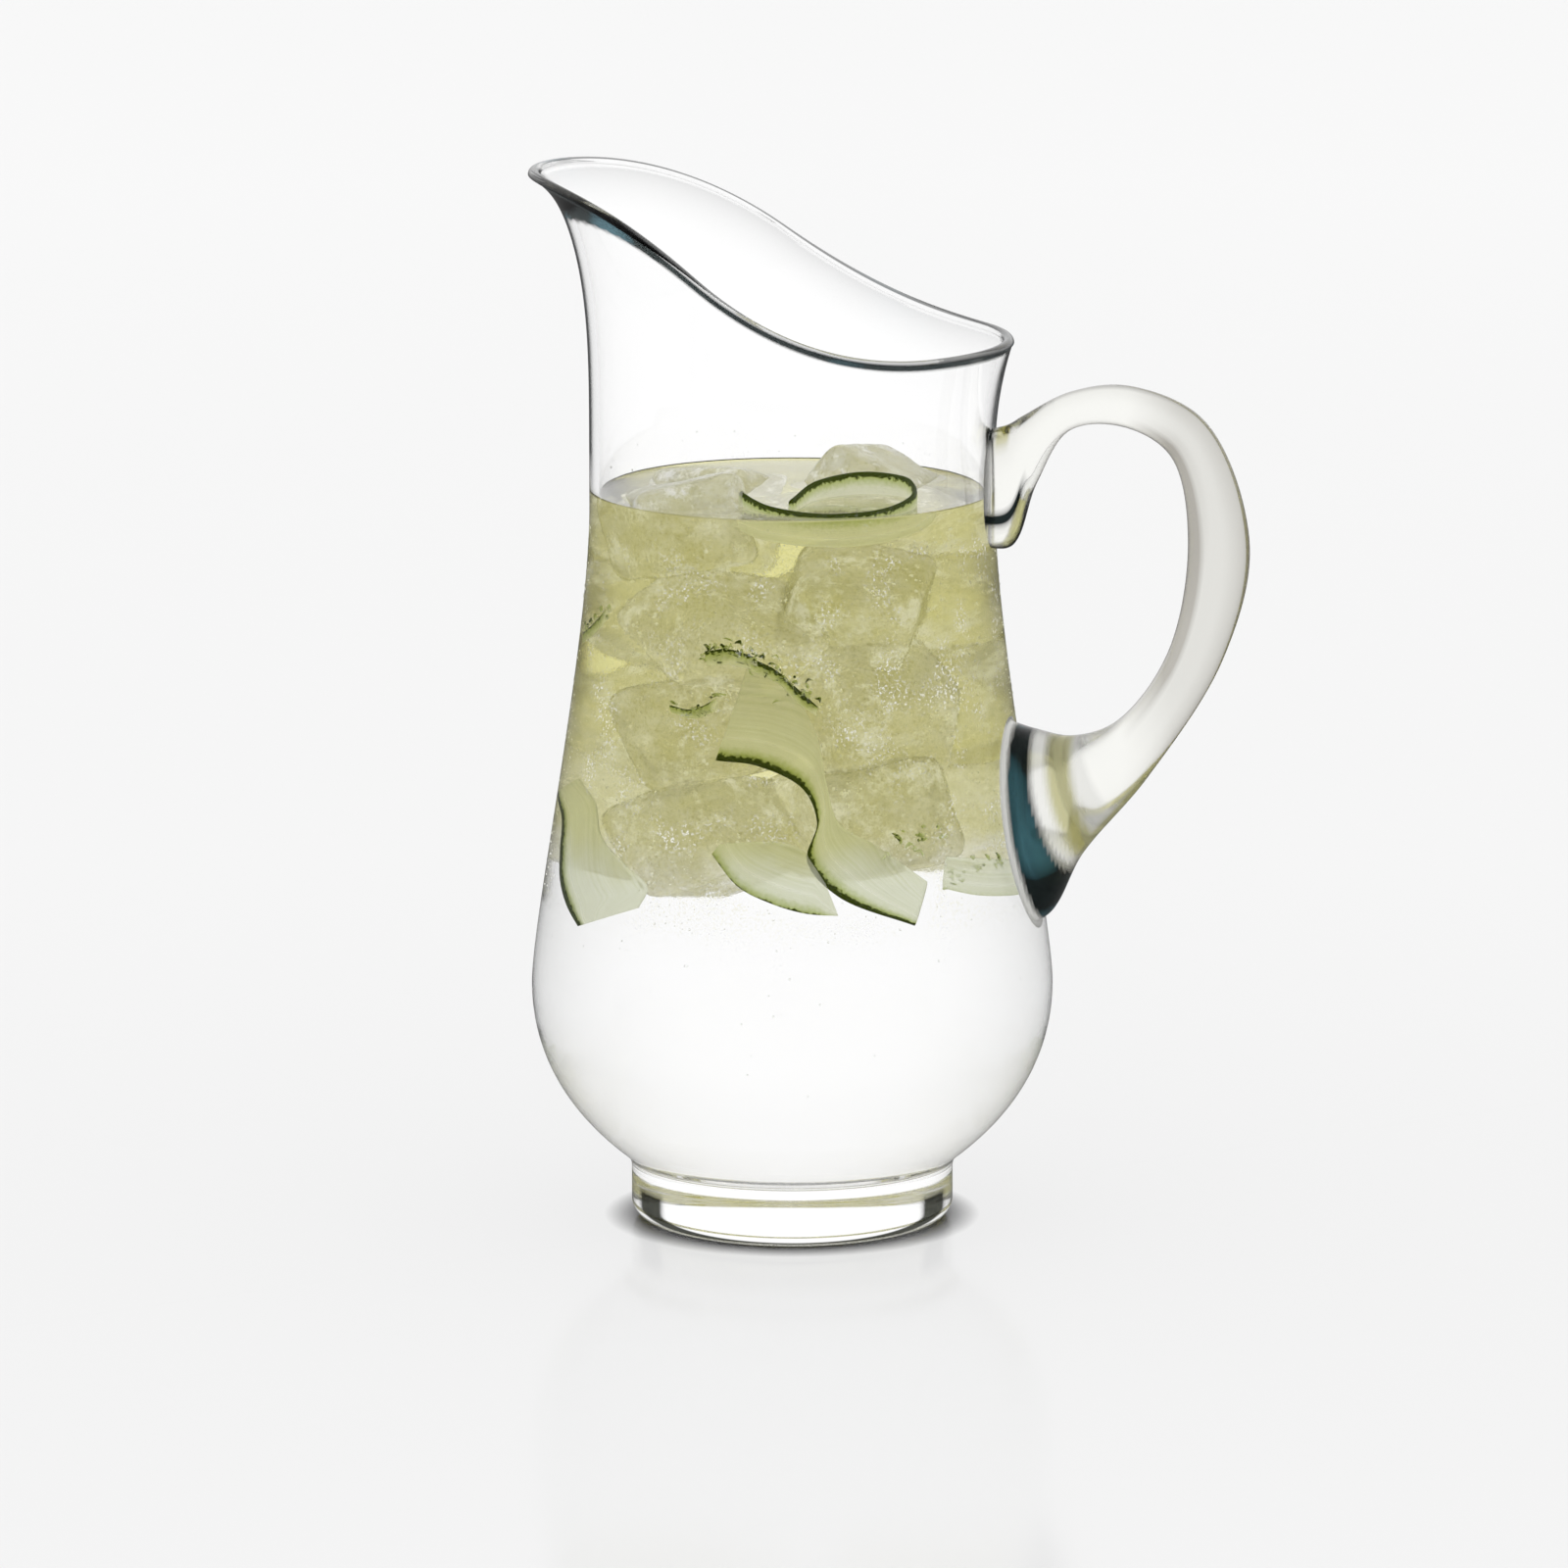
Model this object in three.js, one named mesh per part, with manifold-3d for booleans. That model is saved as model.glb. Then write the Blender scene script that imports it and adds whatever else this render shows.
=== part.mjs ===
// A footed glass pitcher with a swept pouring rim and a drawn handle, holding iced cucumber water.
// Millimetres, +Z up. The origin is the centre of the foot's underside. The handle stands along
// +X and the pouring lip along -X.
import * as THREE from "three";
import { RoundedBoxGeometry } from "three/addons/geometries/RoundedBoxGeometry.js";
import { mergeVertices } from "three/addons/utils/BufferGeometryUtils.js";
import Module from "manifold-3d";

const wasm = await Module();
wasm.setup();

// Fineness round the axis and along each part of the profile
const FACETS = 40;
const LOWER_STEPS = 7;
const UPPER_STEPS = 9;
const NECK_STEPS = 8;
const EDGE_STEPS = 5;

// Clearance between pieces that touch
const SEAM = 0.3;

// Foot: a thick disc of glass with a rounded lower edge
const FOOT_RADIUS = 46;
const FOOT_HEIGHT = 17;
const FOOT_EDGE = 5;

// Bowl and neck: outside radii, heights above the table, and how far each curve runs straight on
const BELLY_RADIUS = 74.4;
const BELLY_HEIGHT = 68;
const NECK_RADIUS = 57.5;
const NECK_HEIGHT = 206;
const BOWL_ANGLE = THREE.MathUtils.degToRad(36);
const BOWL_SPRING = 18;
const BELLY_BELOW = 24;
const BELLY_ABOVE = 18;
const NECK_BELOW = 39;
const WALL = 2.7;
const FLOOR = 5.2;

// Rim: low towards the handle, sweeping up to the pouring lip
const RIM_LOW = 254.4;
const RIM_LOW_AT = 50;
const LIP_RISE = 46.7;
const LIP_CREST_AT = 80.5;
const LIP_SPREAD = 13;
const LIP_ROLL = 4.8;
const LIP_NARROWNESS = 8.2;
const LIP_SPREAD_POWER = 3.5;
const LIP_ROLL_POWER = 20;
const HEEL_SPREAD = 4.9;
const HEEL_POWER = 2;
const ROW_POWER = 1.7;
const FLARE_START = 222;
const BEAD = 1.7;

// Handle: its lower joint's middle height, how far it stands out from the glass and rises over that
// joint, and the width of its lower pad. Each station is a share of these: where its outer and
// inner outlines lie, and its width. Both ends start inside the glass and are cut to its skin.
const HANDLE_HEIGHT = 118;
const HANDLE_REACH = 74;
const HANDLE_RISE = 125;
const HANDLE_PAD = 34;
const HANDLE_RINGS = 34;
const HANDLE_SIDES = 16;
const HANDLE_STATIONS = [
  { outer: [-0.055, 0.888], inner: [-0.055, 0.624], width: 0.41 },
  { outer: [0.061, 0.904], inner: [0.078, 0.628], width: 0.38 },
  { outer: [0.128, 0.928], inner: [0.176, 0.772], width: 0.38 },
  { outer: [0.304, 0.984], inner: [0.304, 0.896], width: 0.35 },
  { outer: [0.534, 1.002], inner: [0.507, 0.91], width: 0.34 },
  { outer: [0.824, 0.928], inner: [0.696, 0.848], width: 0.4 },
  { outer: [0.999, 0.656], inner: [0.765, 0.664], width: 0.505 },
  { outer: [0.862, 0.389], inner: [0.655, 0.404], width: 0.48 },
  { outer: [0.504, 0.108], inner: [0.42, 0.238], width: 0.56 },
  { outer: [0.203, -0.076], inner: [0.234, 0.198], width: 0.765 },
  { outer: [0.054, -0.208], inner: [0.088, 0.21], width: 0.97 },
  { outer: [-0.055, -0.248], inner: [-0.055, 0.236], width: 1 },
];

// Drink, and the ice that stands in it: columns of cubes that lean with a share of the wall's slope
const LEVEL = 210;
const ICE_SIZE = 32;
const ICE_HEIGHT = 29;
const ICE_VARY = 4;
const ICE_EDGE = 4.5;
const ICE_GAP = 0.6;
const ICE_CLEAR = 0.4;
const ICE_WEB = 1;
const ICE_BOTTOM = 104;
const ICE_FIRST = THREE.MathUtils.degToRad(-122);
const ICE_SPIN = THREE.MathUtils.degToRad(10);
const ICE_TILT = THREE.MathUtils.degToRad(5);
const ICE_LEAN_SHARE = 0.42;
const ICE_WALL_GAP = 2.6;
const ICE_EMERGE = [9, 0, 11, 5];

// Cucumber: slices on the inside of the glass, each along a path of turns in degrees and heights
// as shares of the drink's level, and a loop on edge over one column, along a path in plan of
// shares of its half length
const SLICE_THICKNESS = 1.6;
const SLICE_STEPS = 14;
const SLICE_ACROSS = 4;
const SLICE_END_SHARE = 0.15;
const SLICE_FULLNESS = 0.6;
const WAVE_WIDTH = 25;
const WAVE_PATH = [[-87, 0.79], [-75, 0.705], [-66, 0.61], [-62, 0.538], [-52, 0.481]];
const CURL_WIDTH = 22;
const CURL_PATH = [[-119, 0.571], [-104, 0.519], [-87, 0.495]];
const SIDE_WIDTH = 26;
const SIDE_PATH = [[-138, 0.438], [-153, 0.533], [-171, 0.657], [-163, 0.781]];
const TIP_WIDTH = 17;
const TIP_PATH = [[-33, 0.543], [-18, 0.505], [0, 0.495]];
const LOOP_COLUMN = 1;
const LOOP_SIZE = 24;
const LOOP_DROP = 12;
const LOOP_RISE = 3;
const LOOP_TURN = THREE.MathUtils.degToRad(13);
const LOOP_STEPS = 30;
const LOOP_PATH = [
  [-0.64, 0.6], [-0.6, -0.23], [-0.48, -0.94], [-0.02, -0.98],
  [0.44, -0.15], [0.52, 0.52], [0.15, 0.69], [-0.44, 0.44],
];

// Heights and radii that follow from the sizes above
const SEAT = FOOT_HEIGHT + SEAM;
const RIM_TOP = RIM_LOW + LIP_RISE;
const OUTSIDE = outsideProfile(0);
const INSIDE = insideProfile(0);
const NECK_INSIDE = NECK_RADIUS - WALL;
const ICE_CORNER = ICE_SIZE * Math.SQRT1_2;
const ICE_OPEN = ICE_GAP + ICE_SIZE * Math.sin(ICE_TILT);
const ICE_HALF = (ICE_SIZE / 2) * (Math.cos(ICE_SPIN) + Math.sin(ICE_SPIN))
  + (ICE_HEIGHT / 2 + ICE_OPEN) * Math.sin(ICE_TILT);
const ICE_RING = iceRing();
const ICE_LEAN = ICE_LEAN_SHARE * Math.atan2(
  radiusAt(INSIDE, ICE_BOTTOM) - radiusAt(INSIDE, LEVEL), LEVEL - ICE_BOTTOM,
);

const GLASS = new THREE.MeshStandardMaterial({
  color: 0xe9f0ee, roughness: 0.04, metalness: 0, transparent: true, opacity: 0.35,
});
const WATER = new THREE.MeshStandardMaterial({
  color: 0xdfe3b4, roughness: 0.05, metalness: 0, transparent: true, opacity: 0.4,
});
const ICE = new THREE.MeshStandardMaterial({
  color: 0xd9dcae, roughness: 0.25, metalness: 0, transparent: true, opacity: 0.7,
});
const CUCUMBER = new THREE.MeshStandardMaterial({ color: 0xa9bd5c, roughness: 0.4, metalness: 0 });

// Solids

// Turns the triangles of a closed geometry to face out
function facingOut(geometry) {
  const place = geometry.attributes.position;
  const index = geometry.index.array;
  const [a, b, c] = [new THREE.Vector3(), new THREE.Vector3(), new THREE.Vector3()];
  let volume = 0;
  for (let i = 0; i < index.length; i += 3) {
    a.fromBufferAttribute(place, index[i]);
    b.fromBufferAttribute(place, index[i + 1]);
    c.fromBufferAttribute(place, index[i + 2]);
    volume += a.dot(b.cross(c));
  }
  if (volume < 0) {
    for (let i = 0; i < index.length; i += 3) {
      [index[i], index[i + 1]] = [index[i + 1], index[i]];
    }
  }
  return geometry;
}

// Only the positions of a geometry, with shared corners merged and empty triangles left out
function closed(geometry) {
  const bare = geometry.clone();
  bare.deleteAttribute("normal");
  bare.deleteAttribute("uv");
  const merged = mergeVertices(bare);
  const index = merged.index.array;
  const kept = [];
  for (let i = 0; i < index.length; i += 3) {
    const [a, b, c] = index.slice(i, i + 3);
    if (a !== b && b !== c && c !== a) kept.push(a, b, c);
  }
  merged.setIndex(kept);
  return facingOut(merged);
}

function solidOf(geometry) {
  const shape = closed(geometry);
  return new wasm.Manifold(new wasm.Mesh({
    numProp: 3,
    vertProperties: new Float32Array(shape.attributes.position.array),
    triVerts: new Uint32Array(shape.index.array),
  }));
}

function geometryOf(solid) {
  const mesh = solid.getMesh();
  const geometry = new THREE.BufferGeometry();
  geometry.setAttribute("position", new THREE.Float32BufferAttribute(mesh.vertProperties, 3));
  geometry.setIndex([...mesh.triVerts]);
  geometry.computeVertexNormals();
  return geometry;
}

function largestPiece(solid) {
  return solid.decompose().reduce((best, piece) => (piece.volume() > best.volume() ? piece : best));
}

// A solid of revolution about Z from points of (radius, height)
function turned(profile) {
  return new THREE.LatheGeometry(profile, FACETS).rotateX(Math.PI / 2);
}

// A closed skin over rings of equally many points, with a fan over each end
function lofted(rings) {
  const sides = rings[0].length;
  const points = rings.flat();
  const index = [];
  for (let ring = 0; ring + 1 < rings.length; ring += 1) {
    for (let side = 0; side < sides; side += 1) {
      const next = (side + 1) % sides;
      const [a, b] = [ring * sides + side, ring * sides + next];
      index.push(a, b, b + sides, a, b + sides, a + sides);
    }
  }
  for (const ring of [0, rings.length - 1]) {
    const middle = new THREE.Vector3();
    rings[ring].forEach((point) => middle.addScaledVector(point, 1 / sides));
    points.push(middle);
    for (let side = 0; side < sides; side += 1) {
      const next = (side + 1) % sides;
      const corners = [ring * sides + side, ring * sides + next, points.length - 1];
      index.push(...(ring === 0 ? corners.reverse() : corners));
    }
  }
  const geometry = new THREE.BufferGeometry().setFromPoints(points);
  geometry.setIndex(index);
  return facingOut(geometry);
}

// Glass profiles

function bowlCurves() {
  const seat = new THREE.Vector2(FOOT_RADIUS, SEAT);
  const spring = new THREE.Vector2(Math.cos(BOWL_ANGLE), Math.sin(BOWL_ANGLE));
  const belly = new THREE.Vector2(BELLY_RADIUS, BELLY_HEIGHT);
  const neck = new THREE.Vector2(NECK_RADIUS, NECK_HEIGHT);
  const lower = new THREE.CubicBezierCurve(
    seat,
    spring.multiplyScalar(BOWL_SPRING).add(seat),
    new THREE.Vector2(BELLY_RADIUS, BELLY_HEIGHT - BELLY_BELOW),
    belly,
  );
  const upper = new THREE.CubicBezierCurve(
    belly,
    new THREE.Vector2(BELLY_RADIUS, BELLY_HEIGHT + BELLY_ABOVE),
    new THREE.Vector2(NECK_RADIUS, NECK_HEIGHT - NECK_BELOW),
    neck,
  );
  return { lower, upper };
}

// Points of a curve moved square to it, by an amount that changes evenly along it
function beside(curve, steps, first, last) {
  return curve.getPoints(steps).map((point, step) => {
    const along = curve.getTangent(step / steps);
    const by = THREE.MathUtils.lerp(first, last, step / steps);
    return new THREE.Vector2(point.x + along.y * by, point.y - along.x * by);
  });
}

// The bowl's outside, from the foot to the neck, moved out by a gap
function outsideProfile(gap) {
  const { lower, upper } = bowlCurves();
  return [...beside(lower, LOWER_STEPS, gap, gap), ...beside(upper, UPPER_STEPS, gap, gap).slice(1)];
}

// The bowl's inside, from the floor to the neck, moved in by a gap
function insideProfile(gap) {
  const { lower, upper } = bowlCurves();
  const thick = FLOOR / Math.cos(BOWL_ANGLE);
  const wall = -WALL - gap;
  return [
    new THREE.Vector2(0, SEAT + FLOOR + gap),
    ...beside(lower, LOWER_STEPS, -thick - gap / Math.cos(BOWL_ANGLE), wall),
    ...beside(upper, UPPER_STEPS, wall, wall).slice(1),
  ];
}

// Radius of a profile at a height, straight up beyond its ends
function radiusAt(profile, height) {
  const above = profile.findIndex((point) => point.y >= height);
  if (above < 0) return profile[profile.length - 1].x;
  if (above === 0) return profile[0].x;
  const [low, high] = [profile[above - 1], profile[above]];
  return THREE.MathUtils.mapLinear(height, low.y, high.y, low.x, high.x);
}

// How far the wall leans out from the straight neck, at a share of the way up to the rim
function spread(share, turn) {
  const towardsLip = ((1 - Math.cos(turn)) / 2) ** LIP_NARROWNESS;
  const towardsHandle = ((1 + Math.cos(turn)) / 2) ** HEEL_POWER;
  const lip = LIP_SPREAD * share ** LIP_SPREAD_POWER + LIP_ROLL * share ** LIP_ROLL_POWER;
  return towardsLip * lip + towardsHandle * HEEL_SPREAD * share ** HEEL_POWER;
}

// Height of the rim, two matching arcs of a swept line
function rimHeight(turn) {
  const x = (NECK_RADIUS + spread(1, turn)) * Math.cos(turn);
  const share = THREE.MathUtils.clamp((RIM_LOW_AT - x) / (RIM_LOW_AT + LIP_CREST_AT), 0, 1);
  const sweep = share < 0.5 ? 2 * share ** 2 : 1 - 2 * (1 - share) ** 2;
  return RIM_LOW + LIP_RISE * sweep;
}

// Draws a straight neck out to the lip and cuts its top to the swept rim
function drawnMouth(geometry) {
  const place = geometry.attributes.position;
  const beadFoot = RIM_TOP - BEAD;
  for (let i = 0; i < place.count; i += 1) {
    const [x, y, z] = [place.getX(i), place.getY(i), place.getZ(i)];
    if (z <= FLARE_START) continue;
    const turn = Math.atan2(y, x);
    const share = Math.min((z - FLARE_START) / (beadFoot - FLARE_START), 1);
    const top = rimHeight(turn);
    const radius = Math.hypot(x, y);
    const wider = radius > 0 ? (radius + spread(share, turn)) / radius : 1;
    const height = z > beadFoot
      ? top - (RIM_TOP - z)
      : FLARE_START + share * (top - BEAD - FLARE_START);
    place.setXYZ(i, x * wider, y * wider, height);
  }
  return geometry;
}

// Heights of the rows between the neck and the bead, closer together towards the rim
function neckRows() {
  return Array.from({ length: NECK_STEPS }, (_, row) => {
    const share = 1 - (1 - row / (NECK_STEPS - 1)) ** ROW_POWER;
    return THREE.MathUtils.lerp(FLARE_START, RIM_TOP - BEAD, share);
  });
}

// Glass pieces

function blownBody() {
  const bead = new THREE.EllipseCurve(NECK_RADIUS - WALL / 2, RIM_TOP - BEAD, BEAD, BEAD, 0, Math.PI);
  const rows = neckRows();
  const profile = [
    new THREE.Vector2(0, SEAT),
    ...OUTSIDE,
    ...rows.slice(0, -1).map((height) => new THREE.Vector2(NECK_RADIUS, height)),
    ...bead.getPoints(EDGE_STEPS),
    ...rows.slice(0, -1).reverse().map((height) => new THREE.Vector2(NECK_INSIDE, height)),
    ...INSIDE.toReversed(),
  ];
  return geometryOf(solidOf(drawnMouth(turned(profile))));
}

function foot() {
  const edge = new THREE.EllipseCurve(
    FOOT_RADIUS - FOOT_EDGE, FOOT_EDGE, FOOT_EDGE, FOOT_EDGE, -Math.PI / 2, 0,
  );
  const profile = [
    new THREE.Vector2(0, 0),
    ...edge.getPoints(EDGE_STEPS),
    new THREE.Vector2(FOOT_RADIUS, FOOT_HEIGHT),
    new THREE.Vector2(0, FOOT_HEIGHT),
  ];
  return geometryOf(solidOf(turned(profile)));
}

// Everything inside the pitcher's outer skin, with a seam's clearance round it
function bodyEnvelope() {
  const outside = outsideProfile(SEAM);
  const profile = [
    new THREE.Vector2(0, outside[0].y),
    ...outside,
    ...neckRows().map((height) => new THREE.Vector2(NECK_RADIUS + SEAM, height)),
    new THREE.Vector2(0, RIM_TOP - BEAD),
  ];
  return solidOf(drawnMouth(turned(profile)));
}

function handle() {
  const place = ([reach, rise], width) => {
    const height = HANDLE_HEIGHT + rise * HANDLE_RISE;
    const away = radiusAt(OUTSIDE, height) + reach * HANDLE_REACH;
    return new THREE.Vector3(away, (width * HANDLE_PAD) / 2, height);
  };
  const outer = new THREE.CatmullRomCurve3(HANDLE_STATIONS.map((s) => place(s.outer, s.width)));
  const inner = new THREE.CatmullRomCurve3(HANDLE_STATIONS.map((s) => place(s.inner, s.width)));
  const rings = [];
  for (let ring = 0; ring < HANDLE_RINGS; ring += 1) {
    const share = ring / (HANDLE_RINGS - 1);
    const [far, near] = [outer.getPoint(share), inner.getPoint(share)];
    const half = far.y;
    far.y = near.y = 0;
    const middle = far.clone().add(near).multiplyScalar(0.5);
    const reach = far.sub(middle);
    rings.push(Array.from({ length: HANDLE_SIDES }, (_, side) => {
      const turn = (2 * Math.PI * side) / HANDLE_SIDES;
      const point = middle.clone().addScaledVector(reach, Math.cos(turn));
      point.y = half * Math.sin(turn);
      return point;
    }));
  }
  return geometryOf(largestPiece(solidOf(lofted(rings)).subtract(bodyEnvelope())));
}

// Ice

// Radius of the ring of columns: their corners stand clear of the glass and the slices on it
function iceRing() {
  const off = Math.PI / 4 - ICE_SPIN;
  const most = NECK_INSIDE - SLICE_THICKNESS - ICE_WALL_GAP;
  return Math.sqrt(most ** 2 - (ICE_CORNER * Math.sin(off)) ** 2) - ICE_CORNER * Math.cos(off);
}

// A number from 0 to 1 that differs from cube to cube
function varied(number, cube, phase) {
  return 0.5 + 0.5 * Math.sin(phase + 2.1 * number + 1.3 * cube);
}

// One column of cubes below a top height, each second cube tilted on its flat neighbours
function iceColumn(number, top) {
  const column = new THREE.Group();
  const count = Math.max(Math.round((top - ICE_BOTTOM) / (ICE_HEIGHT + ICE_GAP)), 1);
  let height = 0;
  for (let cube = 0; cube < count; cube += 1) {
    const wide = ICE_SIZE - ICE_VARY * varied(number, cube, 0);
    const deep = ICE_SIZE - ICE_VARY * varied(number, cube, 4);
    const tilt = cube % 2 === 1 ? ICE_TILT * (2 * varied(number, cube, 2) - 1) : 0;
    const half = (ICE_HEIGHT / 2) * Math.cos(tilt) + (wide / 2) * Math.abs(Math.sin(tilt));
    const mesh = new THREE.Mesh(new RoundedBoxGeometry(wide, deep, ICE_HEIGHT, 1, ICE_EDGE), ICE);
    mesh.name = `ice_${number + 1}_${cube + 1}`;
    mesh.rotation.set(0, tilt, ICE_SPIN * (2 * varied(number, cube, 1) - 1));
    mesh.position.z = height - half;
    height -= 2 * half + ICE_GAP;
    mesh.userData = { wide, deep, open: cube === 0 ? LEVEL : ICE_OPEN };
    column.add(mesh);
  }
  return column;
}

function iceColumns() {
  const pitch = 2 * (ICE_HALF + ICE_CLEAR) + ICE_WEB;
  const count = Math.max(Math.floor(Math.PI / Math.asin(Math.min(pitch / (2 * ICE_RING), 1))), 2);
  const settle = (ICE_SIZE / 2) * Math.sin(ICE_LEAN);
  return Array.from({ length: count }, (_, number) => {
    const emerge = ICE_EMERGE[number % ICE_EMERGE.length];
    const top = number === LOOP_COLUMN ? LEVEL - LOOP_DROP - ICE_GAP - settle : LEVEL + emerge;
    const turn = ICE_FIRST + (2 * Math.PI * number) / count;
    const column = iceColumn(number, top);
    column.position.set(ICE_RING * Math.cos(turn), ICE_RING * Math.sin(turn), top);
    column.rotation.set(0, -ICE_LEAN, turn, "ZYX");
    return column;
  });
}

// The room that a cube takes in the drink, open upwards to the cube above or to the air
function iceRoom(cube) {
  const { wide, deep, open } = cube.userData;
  const round = 2 * ICE_CLEAR;
  const room = new THREE.BoxGeometry(wide + round, deep + round, ICE_HEIGHT + round + open);
  room.translate(0, 0, open / 2);
  return solidOf(room.applyMatrix4(cube.matrixWorld));
}

// Cucumber

// A slice against the inside of the glass, between two depths from it, made larger all round by grow
function slice(path, width, near, far, grow) {
  const curve = new THREE.SplineCurve(path.map(([turn, share]) => (
    new THREE.Vector2(THREE.MathUtils.degToRad(turn), share * LEVEL)
  )));
  const rings = [];
  for (let step = 0; step <= SLICE_STEPS; step += 1) {
    const share = step / SLICE_STEPS;
    const middle = curve.getPoint(share);
    const radius = radiusAt(INSIDE, middle.y);
    const along = curve.getTangent(share);
    along.set(along.x * radius, along.y).normalize();
    const past = grow * (Number(step === SLICE_STEPS) - Number(step === 0));
    const full = THREE.MathUtils.lerp(SLICE_END_SHARE, 1 - SLICE_END_SHARE, share);
    const half = (width / 2) * Math.sin(Math.PI * full) ** SLICE_FULLNESS + grow;
    const point = (across, depth) => {
      const turn = middle.x + (past * along.x - across * half * along.y) / radius;
      const height = middle.y + past * along.y + across * half * along.x;
      const out = radiusAt(INSIDE, height) - depth;
      return new THREE.Vector3(out * Math.cos(turn), out * Math.sin(turn), height);
    };
    const shares = Array.from({ length: SLICE_ACROSS + 1 }, (_, k) => (2 * k) / SLICE_ACROSS - 1);
    rings.push([
      ...shares.map((across) => point(across, near)),
      ...shares.map((across) => point(-across, far)),
    ]);
  }
  return lofted(rings);
}

// The floating loop: a slice on edge along a path in plan, from a height upwards
function loop(grow, from, to) {
  const path = LOOP_PATH.map(([x, y]) => new THREE.Vector3(x * LOOP_SIZE, y * LOOP_SIZE, 0));
  const curve = new THREE.CatmullRomCurve3(path);
  const half = SLICE_THICKNESS / 2 + grow;
  const [left, right] = [[], []];
  for (let step = 0; step <= LOOP_STEPS; step += 1) {
    const along = curve.getTangent(step / LOOP_STEPS);
    const past = grow * (Number(step === LOOP_STEPS) - Number(step === 0));
    const point = curve.getPoint(step / LOOP_STEPS).addScaledVector(along, past);
    left.push(new THREE.Vector2(point.x - along.y * half, point.y + along.x * half));
    right.push(new THREE.Vector2(point.x + along.y * half, point.y - along.x * half));
  }
  const outline = new THREE.Shape([...left, ...right.reverse()]);
  const band = new THREE.ExtrudeGeometry(outline, { depth: to - from, bevelEnabled: false, steps: 1 });
  return band.translate(0, 0, from);
}

// Drink: fills the bowl to its level, less the room of what stands in it

function drink(rooms) {
  const inside = insideProfile(SEAM);
  const profile = [
    ...inside.filter((point) => point.y < LEVEL),
    new THREE.Vector2(radiusAt(inside, LEVEL), LEVEL),
    new THREE.Vector2(0, LEVEL),
  ];
  const full = solidOf(turned(profile));
  return geometryOf(largestPiece(rooms.reduce((left, room) => left.subtract(room), full)));
}

// Assembly

function named(name, geometry, material) {
  const mesh = new THREE.Mesh(geometry, material);
  mesh.name = name;
  return mesh;
}

const pitcher = new THREE.Group();
pitcher.add(named("foot", foot(), GLASS));
pitcher.add(named("blown_body", blownBody(), GLASS));
pitcher.add(named("handle", handle(), GLASS));

const columns = iceColumns();
pitcher.add(...columns);
pitcher.updateMatrixWorld(true);
const rooms = columns.flatMap((column) => column.children.map(iceRoom));

for (const [name, path, width] of [
  ["cucumber_wave", WAVE_PATH, WAVE_WIDTH],
  ["cucumber_curl", CURL_PATH, CURL_WIDTH],
  ["cucumber_side", SIDE_PATH, SIDE_WIDTH],
  ["cucumber_tip", TIP_PATH, TIP_WIDTH],
]) {
  pitcher.add(named(name, slice(path, width, SEAM, SEAM + SLICE_THICKNESS, 0), CUCUMBER));
  rooms.push(solidOf(slice(path, width, -SEAM, 2 * SEAM + SLICE_THICKNESS, SEAM)));
}

const floating = new THREE.Group();
const loopTurn = columns[LOOP_COLUMN].rotation.z;
floating.position.set(ICE_RING * Math.cos(loopTurn), ICE_RING * Math.sin(loopTurn), LEVEL);
floating.rotation.z = LOOP_TURN;
floating.add(named("cucumber_loop", loop(0, -LOOP_DROP, LOOP_RISE), CUCUMBER));
pitcher.add(floating);
pitcher.updateMatrixWorld(true);
rooms.push(solidOf(loop(SEAM, -LOOP_DROP - SEAM, LOOP_RISE).applyMatrix4(floating.matrixWorld)));

pitcher.add(named("drink", drink(rooms), WATER));

export default pitcher;
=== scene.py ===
"""Looks of a footed glass pitcher of iced cucumber water. Metres, +Z up, handle along +X, lip along -X."""

import logging
import math
from dataclasses import dataclass, field
from enum import Enum

import bmesh
import bpy
import numpy as np
from mathutils import Euler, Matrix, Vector


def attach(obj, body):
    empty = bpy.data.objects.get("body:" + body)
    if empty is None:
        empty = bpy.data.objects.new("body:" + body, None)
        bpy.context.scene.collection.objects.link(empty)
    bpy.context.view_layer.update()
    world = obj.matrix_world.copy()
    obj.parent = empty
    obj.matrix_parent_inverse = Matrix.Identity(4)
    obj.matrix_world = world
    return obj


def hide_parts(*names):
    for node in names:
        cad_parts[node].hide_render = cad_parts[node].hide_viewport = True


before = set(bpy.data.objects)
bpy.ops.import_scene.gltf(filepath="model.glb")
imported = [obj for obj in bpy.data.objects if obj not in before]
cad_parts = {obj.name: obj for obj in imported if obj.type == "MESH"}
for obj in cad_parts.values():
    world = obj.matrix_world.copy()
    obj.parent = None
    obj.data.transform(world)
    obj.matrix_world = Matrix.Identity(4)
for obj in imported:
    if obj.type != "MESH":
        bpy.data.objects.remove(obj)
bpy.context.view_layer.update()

LOG = logging.getLogger("pitcher")
MM = 0.001
BODY = "root"
EVEN_BLEND = 0.5
LEVEL = 210 * MM
SIDES = 144
RIBBON_THICKNESS = 1.5 * MM
RIBBON_SQUARENESS = 6
THINNEST_EDGE = 0.02
LIGHT_PATHS = {"max_bounces": 40, "transmission_bounces": 40, "glossy_bounces": 16, "diffuse_bounces": 6}
Piece = bpy.types.Object
Mesh = bpy.types.Mesh
Material = bpy.types.Material
Tree = bpy.types.NodeTree
Node = bpy.types.Node
Socket = bpy.types.NodeSocket
Points = np.ndarray
Colour = tuple[float, float, float, float]


class Slot(Enum):
    """The record's material slots."""

    GLASS = "clear_glass"
    WATER = "water"
    ICE = "ice"
    CUCUMBER = "cucumber"


# Nodes and meshes


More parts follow.
